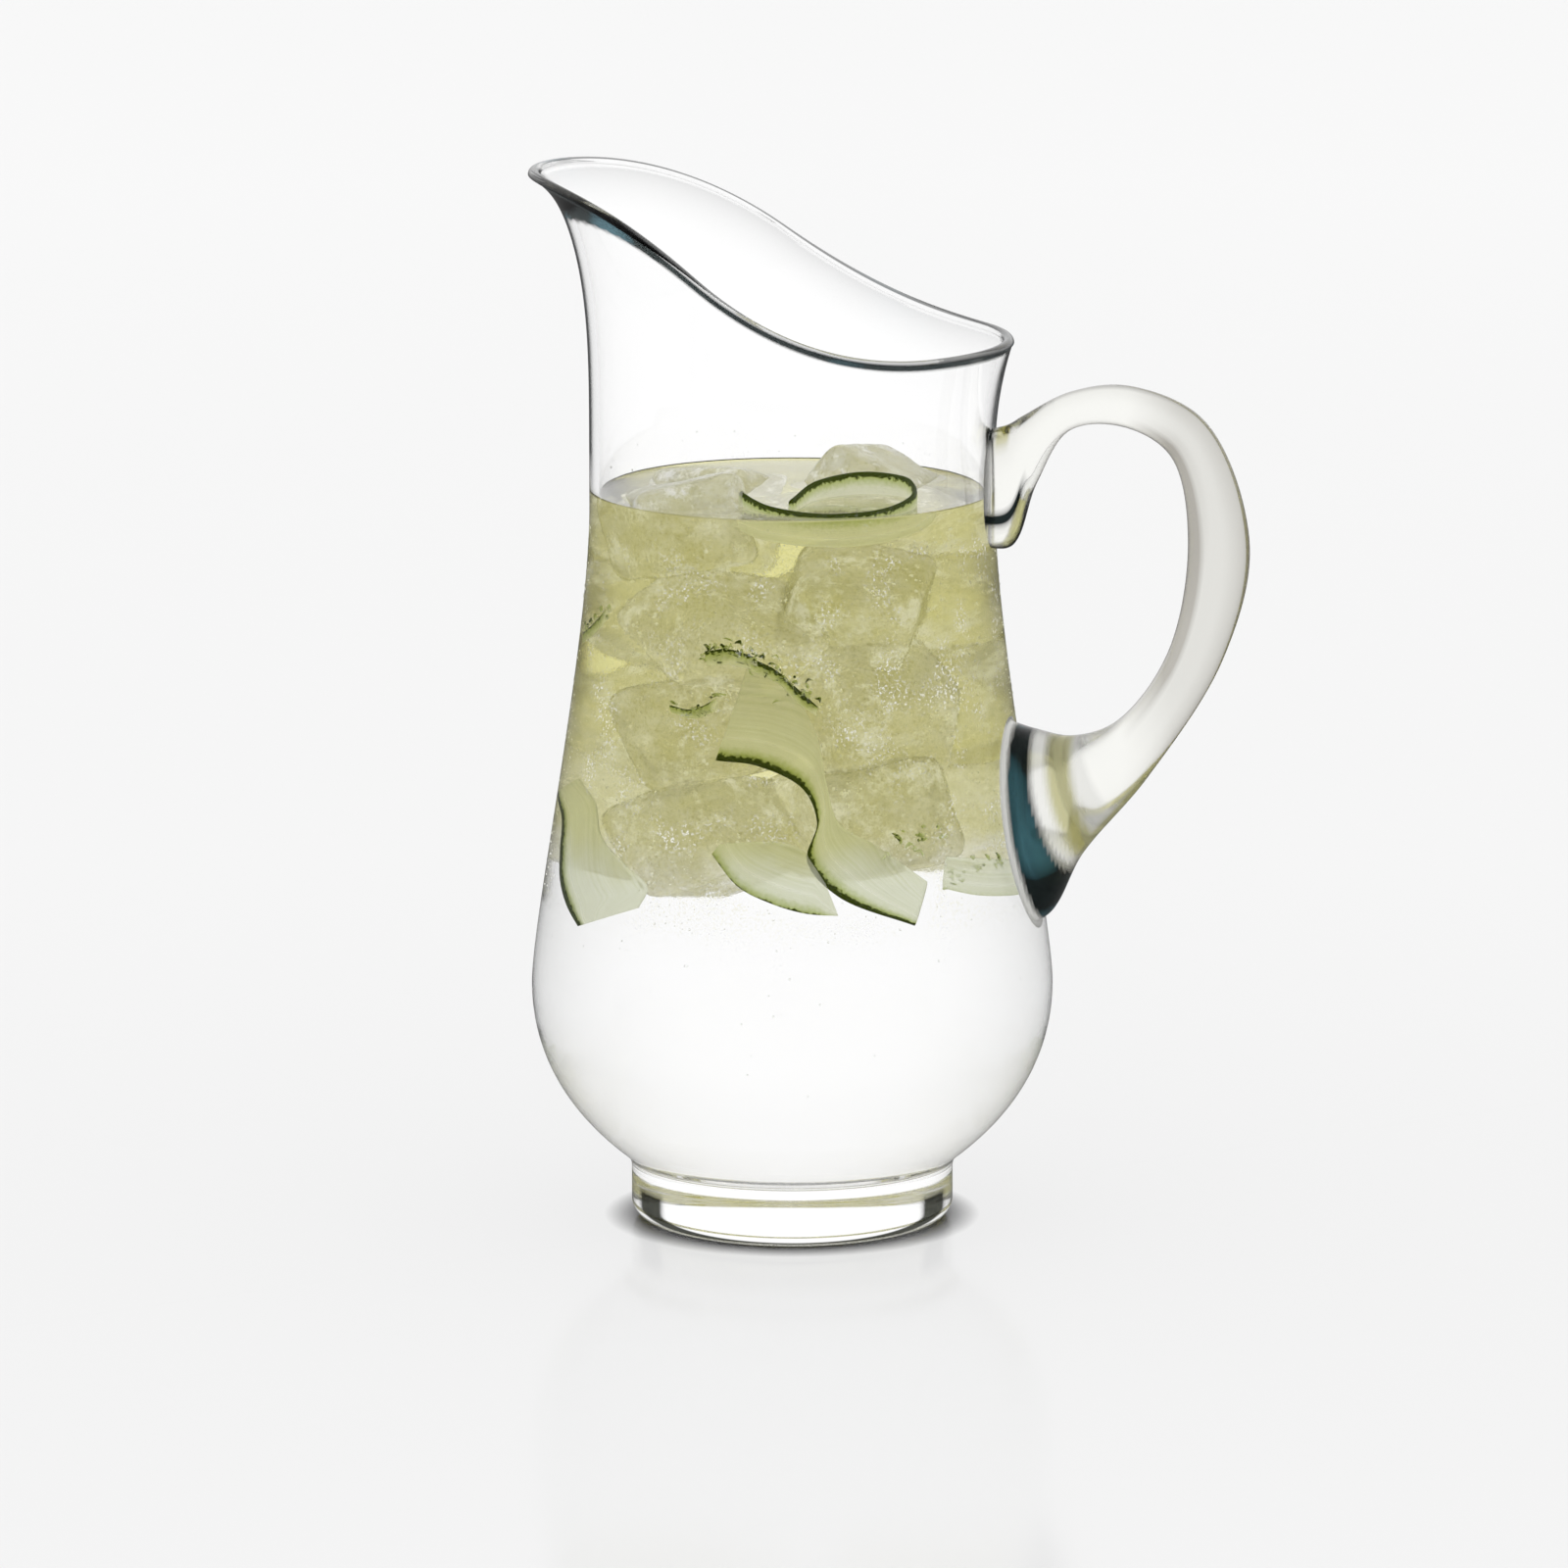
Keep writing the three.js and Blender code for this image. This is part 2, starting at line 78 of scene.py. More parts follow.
def linear(code: str) -> Colour:
    """Turns an sRGB hex value into linear colour.

    Args:
        code: A colour such as "#A9BD5C".

    Returns:
        Red, green, blue and an alpha of 1.
    """
    shares = [int(code[at:at + 2], 16) / 255 for at in (1, 3, 5)]
    return (*[s / 12.92 if s <= 0.04045 else ((s + 0.055) / 1.055) ** 2.4 for s in shares], 1.0)


def add(tree: Tree, kind: str, feeds: dict | None = None, **settings: object) -> Node:
    """Adds a node with its settings and links.

    Args:
        tree: The tree that gets the node.
        kind: The node's type.
        feeds: For each input's name or number, a node or socket to link, or a value to set.
        settings: The node's own properties.

    Returns:
        The new node.
    """
    node = tree.nodes.new(kind)
    for name, value in settings.items():
        setattr(node, name, value)
    for name, value in (feeds or {}).items():
        if isinstance(value, Node):
            value = next(out for out in value.outputs if out.enabled)
        if isinstance(value, Socket):
            tree.links.new(value, node.inputs[name])
        else:
            node.inputs[name].default_value = value
    return node


def grid_faces(rows: int, columns: int) -> list[tuple[int, ...]]:
    """Gives the four-sided faces of a grid of points whose rows close on themselves.

    Args:
        rows: How many rows the grid has.
        columns: How many points a row has.

    Returns:
        The faces as point numbers.
    """
    faces = []
    for low in range(0, (rows - 1) * columns, columns):
        for column in range(columns):
            after = (column + 1) % columns
            faces.append((low + column, low + after, low + columns + after, low + columns + column))
    return faces


def tube_faces(rows: int, columns: int) -> list[tuple[int, ...]]:
    """Gives the faces of a closed tube, whose two poles come after the points of its rings.

    Args:
        rows: How many rings the tube has.
        columns: How many points a ring has.

    Returns:
        The faces as point numbers.
    """
    faces = grid_faces(rows, columns)
    start, pole = (rows - 1) * columns, rows * columns
    for side in range(columns):
        after = (side + 1) % columns
        faces.append((pole, after, side))
        faces.append((pole + 1, start + side, start + after))
    return faces


def linked(name: str, data: bpy.types.ID) -> Piece:
    """Makes an object of a mesh or camera and links it to the scene.

    Args:
        name: The object's name.
        data: What it shows.

    Returns:
        The new object, at the origin.
    """
    made = bpy.data.objects.new(name, data)
    bpy.context.scene.collection.objects.link(made)
    return made


def mesh_piece(name: str, points: Points, faces: list, material: Material) -> Piece:
    """Makes a smooth mesh object at the origin.

    Args:
        name: The piece's name.
        points: Its points, in metres.
        faces: Its faces as point numbers.
        material: Its material.

    Returns:
        The new object, linked to the scene.
    """
    mesh = bpy.data.meshes.new(name)
    mesh.from_pydata([tuple(p) for p in points], [], faces)
    mesh.shade_smooth()
    mesh.materials.append(material)
    return linked(name, mesh)


def lathe(name: str, profile: Points, sides: int, material: Material) -> Piece:
    """Turns a profile about Z into a closed piece.

    Args:
        name: The piece's name.
        profile: Radius and height of each point, from the axis below, round the outside, to the axis above.
        sides: How many flats the turning has.
        material: The piece's material.

    Returns:
        The new object.
    """
    turns = np.linspace(0, 2 * math.pi, sides, endpoint=False)
    inner = profile[1:-1]
    rings = np.stack([
        np.outer(inner[:, 0], np.cos(turns)),
        np.outer(inner[:, 0], np.sin(turns)),
        np.repeat(inner[:, 1:], sides, axis=1),
    ], axis=2).reshape(-1, 3)
    poles = [[0, 0, profile[0, 1]], [0, 0, profile[-1, 1]]]
    return mesh_piece(name, np.vstack([rings, poles]), tube_faces(len(inner), sides), material)


def joined_mesh(name: str, pieces: list[Piece], merge: float) -> Mesh:
    """Copies the meshes of some pieces into one, without materials.

    Args:
        name: The new mesh's name.
        pieces: The pieces to copy.
        merge: Points nearer than this become one.

    Returns:
        The new mesh.
    """
    whole = bmesh.new()
    for piece in pieces:
        whole.from_mesh(piece.data)
    if merge:
        bmesh.ops.remove_doubles(whole, verts=whole.verts, dist=merge)
    mesh = bpy.data.meshes.new(name)
    whole.to_mesh(mesh)
    whole.free()
    return mesh


def point_attributes(piece: Piece, **looks: np.ndarray) -> None:
    """Stores one number per point under each name, for a material to read.

    Args:
        piece: The piece whose mesh stores them.
        looks: The numbers, in the order of the points.
    """
    for name, values in looks.items():
        stored = piece.data.attributes.new(name, "FLOAT", "POINT")
        stored.data.foreach_set("value", values.astype(np.float32))


def points_of(piece: Piece) -> Points:
    """Gives the piece's points as an array of three columns."""
    return np.array([v.co for v in piece.data.vertices], float)


def face_outwards(piece: Piece) -> None:
    """Turns a closed mesh the right way round where its volume comes out negative.

    Args:
        piece: The piece with the mesh.
    """
    mesh = piece.data
    mesh.calc_loop_triangles()
    corners = points_of(piece)[np.array([t.vertices for t in mesh.loop_triangles])]
    volume = np.einsum("ij,ij->i", corners[:, 0], np.cross(corners[:, 1], corners[:, 2])).sum()
    if volume < 0:
        mesh.flip_normals()


def seat(piece: Piece, slot: Slot, *nodes: str) -> Piece:
    """Ties a finished piece to the frame, lets soft light past it and reports it.

    Args:
        piece: The finished piece, at the origin.
        slot: The record's slot that its finish belongs to; not used.
        nodes: The solids that it stands for.

    Returns:
        The same piece.
    """
    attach(piece, BODY)
    if nodes:
        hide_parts(*nodes)
    piece.visible_diffuse = False
    LOG.info("%s: %d faces", piece.name, len(piece.data.polygons))
    return piece


@dataclass
class GeometryTool:
    """A Geometry Nodes tree with named inputs, applied to a piece as a plain mesh."""

    name: str
    tree: Tree = field(init=False)
    start: Node = field(init=False)

    def __post_init__(self) -> None:
        """Makes the empty tree with its geometry sockets."""
        self.tree = bpy.data.node_groups.new(self.name, "GeometryNodeTree")
        self.tree.interface.new_socket("Geometry", in_out="INPUT", socket_type="NodeSocketGeometry")
        self.tree.interface.new_socket("Geometry", in_out="OUTPUT", socket_type="NodeSocketGeometry")
        self.start = add(self.tree, "NodeGroupInput")

    def size(self, name: str, kind: str = "NodeSocketFloat") -> Socket:
        """Adds a named input.

        Args:
            name: What the input is called.
            kind: The socket's type.

        Returns:
            The socket inside the tree that carries it.
        """
        self.tree.interface.new_socket(name, in_out="INPUT", socket_type=kind)
        return self.start.outputs[name]

    def end(self, geometry: Node, material: Material) -> None:
        """Ends the tree in plain geometry with its material.

        Args:
            geometry: The tree's last node so far.
            material: What the result is made of.
        """
        real = add(self.tree, "GeometryNodeRealizeInstances", {"Geometry": geometry})
        dressed = add(self.tree, "GeometryNodeSetMaterial", {"Geometry": real, "Material": material})
        add(self.tree, "NodeGroupOutput", {"Geometry": dressed})

    def apply(self, piece: Piece, **sizes: float) -> None:
        """Runs the tree on a piece and keeps the result as its mesh.

        Args:
            piece: The object whose mesh is fed in and replaced.
            sizes: A value for each named input, with _ for a space.
        """
        modifier = piece.modifiers.new(self.name, "NODES")
        modifier.node_group = self.tree
        for socket in self.tree.interface.items_tree:
            key = socket.name.lower().replace(" ", "_")
            if socket.in_out == "INPUT" and key in sizes:
                modifier[socket.identifier] = sizes[key]
        keep_evaluated(piece)


def keep_evaluated(piece: Piece) -> None:
    """Replaces a piece's mesh by its evaluated one and removes its modifiers.

    Args:
        piece: The piece, which keeps its name.
    """
    made = bpy.data.meshes.new_from_object(piece.evaluated_get(bpy.context.evaluated_depsgraph_get()))
    piece.modifiers.clear()
    old, piece.data = piece.data, made
    bpy.data.meshes.remove(old)
    made.name = piece.name


# Finishes


@dataclass(frozen=True)
class Pattern:
    """A cloudy pattern: the size of its spots, in millimetres, and how much finer detail they hold."""

    size_mm: float
    detail: float = 2.0
    roughness: float = 0.5

    def sockets(self) -> dict:
        """Gives what a noise node's inputs get."""
        return {"Scale": 1 / (self.size_mm * MM), "Detail": self.detail, "Roughness": self.roughness}


@dataclass(frozen=True)
class Finish:
    """A finish: the name of a real material, and one shader fed by a small tree."""

    name: str

    def material(self) -> Material:
        """Builds the material.

        Returns:
            The material, for any number of pieces.
        """
        material = bpy.data.materials.new(self.name)
        material.use_nodes = True
        tree = material.node_tree
        tree.nodes.clear()
        place = add(tree, "ShaderNodeTexCoord").outputs["Object"]
        shader = add(tree, "ShaderNodeBsdfPrincipled", self.feeds(tree, place))
        add(tree, "ShaderNodeOutputMaterial", {"Surface": shader})
        return material

    def feeds(self, tree: Tree, place: Socket) -> dict:
        """Adds the finish's own nodes.

        Args:
            tree: The material's tree.
            place: The piece's own coordinates.

        Returns:
            What each input of the shader gets.
        """
        raise NotImplementedError


@dataclass(frozen=True)
class ClearGlass(Finish):
    """Soda-lime glass, worked hot and fire polished.

    Its skin is smooth with a faint wave, misted with fine specks where it is cold, with painted glints in
    clusters.
    Painted shade darkens it where it is seen edge on, and its thick joints carry painted dark bands with
    teal gleams for dark reflections and painted olive for the drink seen through them.
    """

    tint: str = "#FCFCFC"
    # Painted shade: grey and edge darken the glass seen edge on, shade and gleam paint dark bands for
    # reflections, olive paints the drink seen through
    grey: str = "#A9ABA8"
    grey_to: float = 0.6
    edge: str = "#060808"
    edge_from: float = 0.76
    edge_to: float = 0.87
    edge_end: float = 2.0
    edge_soft: float = 0.08
    smear: float = 0.0
    shade: str = "#0A0E0E"
    gleam: str = "#1E3A44"
    gleam_pattern: Pattern = Pattern(30.0, detail=1.0)
    gleam_from: float = 0.58
    gleam_soft: float = 0.12
    olive: str = "#B7B47C"
    mirror: str = "#808080"
    ior: float = 1.52
    wave_pattern: Pattern = Pattern(24.0, detail=1.0)
    wave_depth_mm: float = 1.0
    wave_strength: float = 0.05
    mist: str = "#EAE8CE"
    mist_pattern: Pattern = Pattern(0.8, roughness=0.6)
    mist_depth_mm: float = 0.03
    mist_smear: float = 0.03
    speck_range: tuple = (0.5, 0.68)
    # Painted glints: bright white specks in clusters on the mist, standing in for sparkling highlights
    glint_range: tuple = (0.46, 0.34)
    cluster_pattern: Pattern = Pattern(13.0, detail=3.0)
    cluster_range: tuple = (0.49, 0.68)
    sparkle: float = 0.8

    def feeds(self, tree: Tree, place: Socket) -> dict:
        """Adds the nodes, whose painted shade, painted light and mist follow the piece's attributes, each 0
        where it has none.

        Args:
            tree: The material's tree.
            place: The piece's own coordinates.

        Returns:
            What each input of the shader gets.
        """
        stored = {
            name: add(tree, "ShaderNodeAttribute", attribute_name=name).outputs["Fac"]
            for name in ("edge", "grey", "veil", "plain", "shade", "olive", "mist", "caught")
        }
        streaks, wave, grain, clusters = (
            add(tree, "ShaderNodeTexNoise", {"Vector": place, **pattern.sockets()})
            for pattern in (self.gleam_pattern, self.wave_pattern, self.mist_pattern, self.cluster_pattern)
        )
        facing = add(tree, "ShaderNodeLayerWeight", {"Blend": EVEN_BLEND}).outputs["Facing"]
        backed = add(tree, "ShaderNodeNewGeometry").outputs["Backfacing"]
        dark, greying = (
            add(tree, "ShaderNodeMapRange", {
                "Value": facing, "From Min": low, "From Max": high,
            }, interpolation_type="SMOOTHSTEP")
            for low, high in ((self.edge_from, self.edge_to), (0.0, self.grey_to))
        )
        past, front, allowed, speck, glint, crowded = (
            add(tree, "ShaderNodeMapRange", {
                "Value": value, "From Min": low, "From Max": high, "To Min": start, "To Max": stop,
            })
            for value, (low, high), start, stop in (
                (facing, (self.edge_end, self.edge_end + self.edge_soft), 1.0, 0.0),
                (backed, (0.0, 1.0), 1.0, 0.0),
                (stored["plain"], (0.0, 1.0), 1.0, 0.0),
                (grain, self.speck_range, 0.0, 1.0),
                (grain, self.glint_range, 0.0, 1.0),
                (clusters, self.cluster_range, 0.0, self.sparkle),
            )
        )
        outward = add(tree, "ShaderNodeMapRange", {"Value": backed, "To Min": past, "To Max": 0.0})
        gleams = add(tree, "ShaderNodeMapRange", {
            "Value": streaks, "From Min": self.gleam_from, "From Max": self.gleam_from + self.gleam_soft,
            "To Max": allowed,
        })
        rough = add(tree, "ShaderNodeMapRange", {
            "Value": stored["mist"], "To Min": self.smear, "To Max": self.mist_smear,
        })
        edge_seen = add(tree, "ShaderNodeMath", {0: dark, 1: outward}, operation="MULTIPLY")
        edged, shaded, tinged, speckled, glints = (
            add(tree, "ShaderNodeMath", {0: one, 1: other}, operation="MULTIPLY")
            for one, other in (
                (edge_seen, stored["edge"]), (front, stored["shade"]), (front, stored["olive"]),
                (speck, stored["mist"]), (glint, crowded),
            )
        )
        greyed = add(tree, "ShaderNodeMath", {
            0: greying, 1: stored["grey"], 2: stored["veil"],
        }, operation="MULTIPLY_ADD", use_clamp=True)
        # Painted light: glints on the mist and painted bright bands turn the glass partly diffuse white
        lit = add(tree, "ShaderNodeMath", {
            0: glints, 1: stored["mist"], 2: stored["caught"],
        }, operation="MULTIPLY_ADD")
        clear = add(tree, "ShaderNodeMapRange", {"Value": lit, "To Min": 1.0, "To Max": 0.0})
        deep = add(tree, "ShaderNodeMix", {
            0: gleams, 6: linear(self.shade), 7: linear(self.gleam),
        }, data_type="RGBA")
        # The colour paints shade over the tint: grey shade, dark edges, olive for the drink behind, dark
        # bands with teal gleams, then mist specks
        colour = linear(self.tint)
        for share, over, blend in (
            (greyed, linear(self.grey), "MIX"), (edged, linear(self.edge), "MIX"),
            (tinged, linear(self.olive), "MIX"), (shaded, deep.outputs[2], "MIX"),
            (speckled, linear(self.mist), "MULTIPLY"),
        ):
            colour = add(tree, "ShaderNodeMix", {
                0: share, 6: colour, 7: over,
            }, data_type="RGBA", blend_type=blend).outputs[2]
        rippled = add(tree, "ShaderNodeBump", {
            "Height": wave, "Strength": self.wave_strength, "Distance": self.wave_depth_mm * MM,
        })
        misty = add(tree, "ShaderNodeBump", {
            "Height": grain, "Strength": stored["mist"], "Distance": self.mist_depth_mm * MM,
            "Normal": rippled,
        })
        return {
            "Base Color": colour, "Roughness": rough, "IOR": self.ior,
            "Specular Tint": linear(self.mirror), "Transmission Weight": clear, "Normal": misty,
        }


@dataclass(frozen=True)
class InfusedWater(Finish):
    """Still water, clear below and yellow green with cucumber juice among the ice."""

    clear: str = "#FEFEFE"
    juice: str = "#E0DC9C"
    mirror: str = "#404040"
    clear_to_mm: float = 104.0
    juice_from_mm: float = 122.0
    swirl_pattern: Pattern = Pattern(30.0, detail=3.0)
    drift_mm: float = 14.0
    ior: float = 1.333

    def feeds(self, tree: Tree, place: Socket) -> dict:
        """Adds the nodes, whose colour follows a height that drifts up and down.

        Args:
            tree: The material's tree.
            place: The piece's own coordinates.

        Returns:
            What each input of the shader gets.
        """
        height = add(tree, "ShaderNodeSeparateXYZ", {"Vector": place}).outputs["Z"]
        swirl = add(tree, "ShaderNodeTexNoise", {"Vector": place, **self.swirl_pattern.sockets()})
        drift = add(tree, "ShaderNodeMapRange", {
            "Value": swirl, "To Min": -self.drift_mm * MM, "To Max": self.drift_mm * MM,
        })
        bent = add(tree, "ShaderNodeMath", {0: height, 1: drift}, operation="ADD")
        share = add(tree, "ShaderNodeMapRange", {
            "Value": bent, "From Min": self.clear_to_mm * MM, "From Max": self.juice_from_mm * MM,
        }, interpolation_type="SMOOTHSTEP")
        colour = add(tree, "ShaderNodeMix", {
            0: share, 6: linear(self.clear), 7: linear(self.juice),
        }, data_type="RGBA")
        return {
            "Base Color": colour.outputs[2], "Roughness": 0.0, "IOR": self.ior,
            "Specular Tint": linear(self.mirror), "Transmission Weight": 1.0,
        }


@dataclass(frozen=True)
class CloudyIce(Finish):
    """Tray ice in water: a wet melted skin over a cloudy heart, crossed by fine cracks and bubbles."""

    ior: float
    thin: str = "#FFFEF4"
    thick: str = "#F5F3D2"
    cloud_pattern: Pattern = Pattern(16.0, detail=5.0, roughness=0.62)
    cloud_range: tuple = (0.35, 0.68)
    # Painted shade: the rim colour darkens the ice seen edge on; the sandy grains use it too, as the ice's
    # own tone
    rim: str = "#AEAB58"
    rim_from: float = 0.66
    rim_share: float = 0.95
    sand_pattern: Pattern = Pattern(1.3, roughness=0.7)
    sand_range: tuple = (0.5, 0.72)
    sand_share: float = 0.45
    frost: str = "#FFFFFC"
    frost_pattern: Pattern = Pattern(11.0, detail=6.0, roughness=0.75)
    frost_range: tuple = (0.52, 0.64)
    frost_loss: float = 0.4
    clearness: float = 0.7
    grain_pattern: Pattern = Pattern(0.9, detail=3.0, roughness=0.7)
    grain_range: tuple = (0.3, 0.7)
    grain_depth_mm: float = 0.2
    grain_strength: float = 0.5
    roughness: tuple = (0.03, 0.2)

    def feeds(self, tree: Tree, place: Socket) -> dict:
        """Adds the nodes: clouds, then a painted dark outline where the ice is seen edge on, sandy grains
        and white frost over them.

        Args:
            tree: The material's tree.
            place: The piece's own coordinates.

        Returns:
            What each input of the shader gets.
        """
        cloud, grain, patches, sand = (
            add(tree, "ShaderNodeTexNoise", {"Vector": place, **pattern.sockets()})
            for pattern in (self.cloud_pattern, self.grain_pattern, self.frost_pattern, self.sand_pattern)
        )
        facing = add(tree, "ShaderNodeLayerWeight", {"Blend": EVEN_BLEND}).outputs["Facing"]
        outline = add(tree, "ShaderNodeMapRange", {
            "Value": facing, "From Min": self.rim_from, "From Max": 1.0, "To Max": self.rim_share,
        }, interpolation_type="SMOOTHSTEP")
        thickness, sandy, frosted, rough = (
            add(tree, "ShaderNodeMapRange", {
                "Value": value, "From Min": low, "From Max": high, "To Min": start, "To Max": stop,
            })
            for value, (low, high), (start, stop) in (
                (cloud, self.cloud_range, (0.0, 1.0)),
                (sand, self.sand_range, (0.0, self.sand_share)),
                (patches, self.frost_range, (0.0, 1.0)),
                (grain, self.grain_range, self.roughness),
            )
        )
        colour = linear(self.thin)
        for share, code in (
            (thickness, self.thick), (outline, self.rim), (sandy, self.rim), (frosted, self.frost),
        ):
            colour = add(tree, "ShaderNodeMix", {
                0: share, 6: colour, 7: linear(code),
            }, data_type="RGBA").outputs[2]
        clear = add(tree, "ShaderNodeMapRange", {
            "Value": frosted, "To Min": self.clearness, "To Max": self.clearness - self.frost_loss,
        })
        bump = add(tree, "ShaderNodeBump", {
            "Height": grain, "Strength": self.grain_strength, "Distance": self.grain_depth_mm * MM,
        })
        return {
            "Base Color": colour, "Roughness": rough, "IOR": self.ior,
            "Transmission Weight": clear, "Normal": bump,
        }


@dataclass(frozen=True)
class CucumberRibbon(Finish):
    """A peeled ribbon of cucumber: wet, milky flesh, fine streaks along it and one dark green skin edge."""

    name: str = "cucumber_flesh_and_skin"
    flesh: str = "#F7F9E4"
    soaked: str = "#F5F5DE"
    clear_to_mm: float = 114.0
    juice_from_mm: float = 138.0
    under_skin: str = "#A6B722"
    under_skin_mm: float = 6.0
    skin: str = "#364204"
    skin_mm: float = 1.9
    skin_soft_mm: float = 0.3
    skin_clearness: float = 0.05
    fray_mm: float = 1.5
    speckle_pattern: Pattern = Pattern(1.1, detail=3.0)
    streak_mm: float = 1.3
    streak_range: tuple = (0.4, 0.65)
    streak_share: float = 0.14
    streak_depth_mm: float = 0.2
    streak_strength: float = 0.3
    thin_mm: float = 20.0
    clearness: tuple = (0.36, 0.62)
    roughness: tuple = (0.38, 0.08)
    ior: float = 1.06

    def feeds(self, tree: Tree, place: Socket) -> dict:
        """Adds the nodes, which read from the piece how far each point is from the skin.

        Args:
            tree: The material's tree.
            place: The piece's own coordinates.

        Returns:
            What each input of the shader gets.
        """
        across = add(tree, "ShaderNodeAttribute", attribute_name="from_skin").outputs["Fac"]
        height = add(tree, "ShaderNodeSeparateXYZ", {0: place}).outputs["Z"]
        ragged = add(tree, "ShaderNodeTexNoise", {"Vector": place, **self.speckle_pattern.sockets()})
        streaks = add(tree, "ShaderNodeTexNoise", {
            "W": across, "Scale": 1 / self.streak_mm,
        }, noise_dimensions="1D")
        fray, juicy, streaked, thin, rough = (
            add(tree, "ShaderNodeMapRange", {
                "Value": value, "From Min": low, "From Max": high, "To Min": start, "To Max": stop,
            })
            for value, (low, high), (start, stop) in (
                (ragged, (0.0, 1.0), (self.fray_mm, -self.fray_mm)),
                (height, (self.clear_to_mm * MM, self.juice_from_mm * MM), (0.0, 1.0)),
                (streaks, self.streak_range, (0.0, self.streak_share)),
                (across, (0.0, self.thin_mm), self.clearness),
                (across, (0.0, self.thin_mm), self.roughness),
            )
        )
        frayed = add(tree, "ShaderNodeMath", {0: across, 1: fray}, operation="ADD")
        rind, green = (
            add(tree, "ShaderNodeMapRange", {
                "Value": frayed, "From Min": low, "From Max": high,
            }, interpolation_type="SMOOTHSTEP")
            for low, high in (
                (self.skin_mm + self.skin_soft_mm, self.skin_mm - self.skin_soft_mm),
                (self.under_skin_mm, 0.0),
            )
        )
        colour = linear(self.flesh)
        for share, code in (
            (juicy, self.soaked), (green, self.under_skin), (streaked, self.under_skin), (rind, self.skin),
        ):
            colour = add(tree, "ShaderNodeMix", {
                0: share, 6: colour, 7: linear(code),
            }, data_type="RGBA").outputs[2]
        clear = add(tree, "ShaderNodeMapRange", {
            "Value": rind, "To Min": thin, "To Max": self.skin_clearness,
        })
        bump = add(tree, "ShaderNodeBump", {
            "Height": streaks, "Strength": self.streak_strength, "Distance": self.streak_depth_mm * MM,
        })
        return {
            "Base Color": colour, "Roughness": rough, "IOR": self.ior,
            "Transmission Weight": clear, "Normal": bump,
        }


@dataclass(frozen=True)
class DropOfWater(Finish):
    """Clean water in fine flat drops: clear and glossy, with a faint dark side."""

    name: str = "condensed_water"
    tint: str = "#FBFCFA"
    ior: float = 1.2
    ripple_pattern: Pattern = Pattern(0.6)
    roughness: float = 0.1

    def feeds(self, tree: Tree, place: Socket) -> dict:
        """Adds the nodes, whose gloss varies a little.

        Args:
            tree: The material's tree.
            place: The piece's own coordinates.

        Returns:
            What each input of the shader gets.
        """
        ripple = add(tree, "ShaderNodeTexNoise", {"Vector": place, **self.ripple_pattern.sockets()})
        rough = add(tree, "ShaderNodeMapRange", {"Value": ripple, "To Min": 0.0, "To Max": self.roughness})
        return {
            "Base Color": linear(self.tint), "Roughness": rough, "IOR": self.ior, "Transmission Weight": 1.0,
        }


@dataclass(frozen=True)
class TrappedAir(Finish):
    """Air let go by melting ice: silvery white beads that sparkle in clusters."""

    name: str = "trapped_air"
    white: str = "#FFFFFF"
    cream: str = "#F4F3D6"
    shine_pattern: Pattern = Pattern(0.5)
    roughness: tuple = (0.05, 0.3)
    ior: float = 1.2
    clearness: float = 0.25

    def feeds(self, tree: Tree, place: Socket) -> dict:
        """Adds the nodes, whose colour and gloss vary from bead to bead.

        Args:
            tree: The material's tree.
            place: The piece's own coordinates.

        Returns:
            What each input of the shader gets.
        """
        shine = add(tree, "ShaderNodeTexNoise", {"Vector": place, **self.shine_pattern.sockets()})
        colour = add(tree, "ShaderNodeMix", {
            0: shine, 6: linear(self.white), 7: linear(self.cream),
        }, data_type="RGBA")
        rough = add(tree, "ShaderNodeMapRange", {
            "Value": shine, "To Min": self.roughness[0], "To Max": self.roughness[1],
        })
        return {
            "Base Color": colour.outputs[2], "Roughness": rough, "IOR": self.ior,
            "Transmission Weight": self.clearness,
        }


@dataclass(frozen=True)
class PaperFloor(Finish):
    """Smooth coated studio paper: pale, even, with the faintest sheen, and a painted contact shadow."""

    name: str = "coated_studio_paper"
    shade: str = "#ECECEC"
    # Colour of the painted contact shadow, laid by ambient occlusion
    dark: str = "#101010"
    fibre_pattern: Pattern = Pattern(3.0)
    roughness: tuple = (0.1, 0.14)
    ior: float = 1.12
    contact_mm: float = 9.0
    contact_power: float = 2.3
    contact_samples: int = 16

    def feeds(self, tree: Tree, place: Socket) -> dict:
        """Adds the nodes: fine fibres, and a painted contact shadow, from ambient occlusion, where something
        stands on the paper.

        Args:
            tree: The material's tree.
            place: The piece's own coordinates.

        Returns:
            What each input of the shader gets.
        """
        fibre = add(tree, "ShaderNodeTexNoise", {"Vector": place, **self.fibre_pattern.sockets()})
        rough = add(tree, "ShaderNodeMapRange", {
            "Value": fibre, "To Min": self.roughness[0], "To Max": self.roughness[1],
        })
        contact = add(tree, "ShaderNodeAmbientOcclusion", {
            "Distance": self.contact_mm * MM,
        }, samples=self.contact_samples).outputs["AO"]
        deepened = add(tree, "ShaderNodeMath", {0: contact, 1: self.contact_power}, operation="POWER")
        colour = add(tree, "ShaderNodeMix", {
            0: deepened, 6: linear(self.dark), 7: linear(self.shade),
        }, data_type="RGBA")
        return {"Base Color": colour.outputs[2], "Roughness": rough, "IOR": self.ior}


# Shapes of the glass


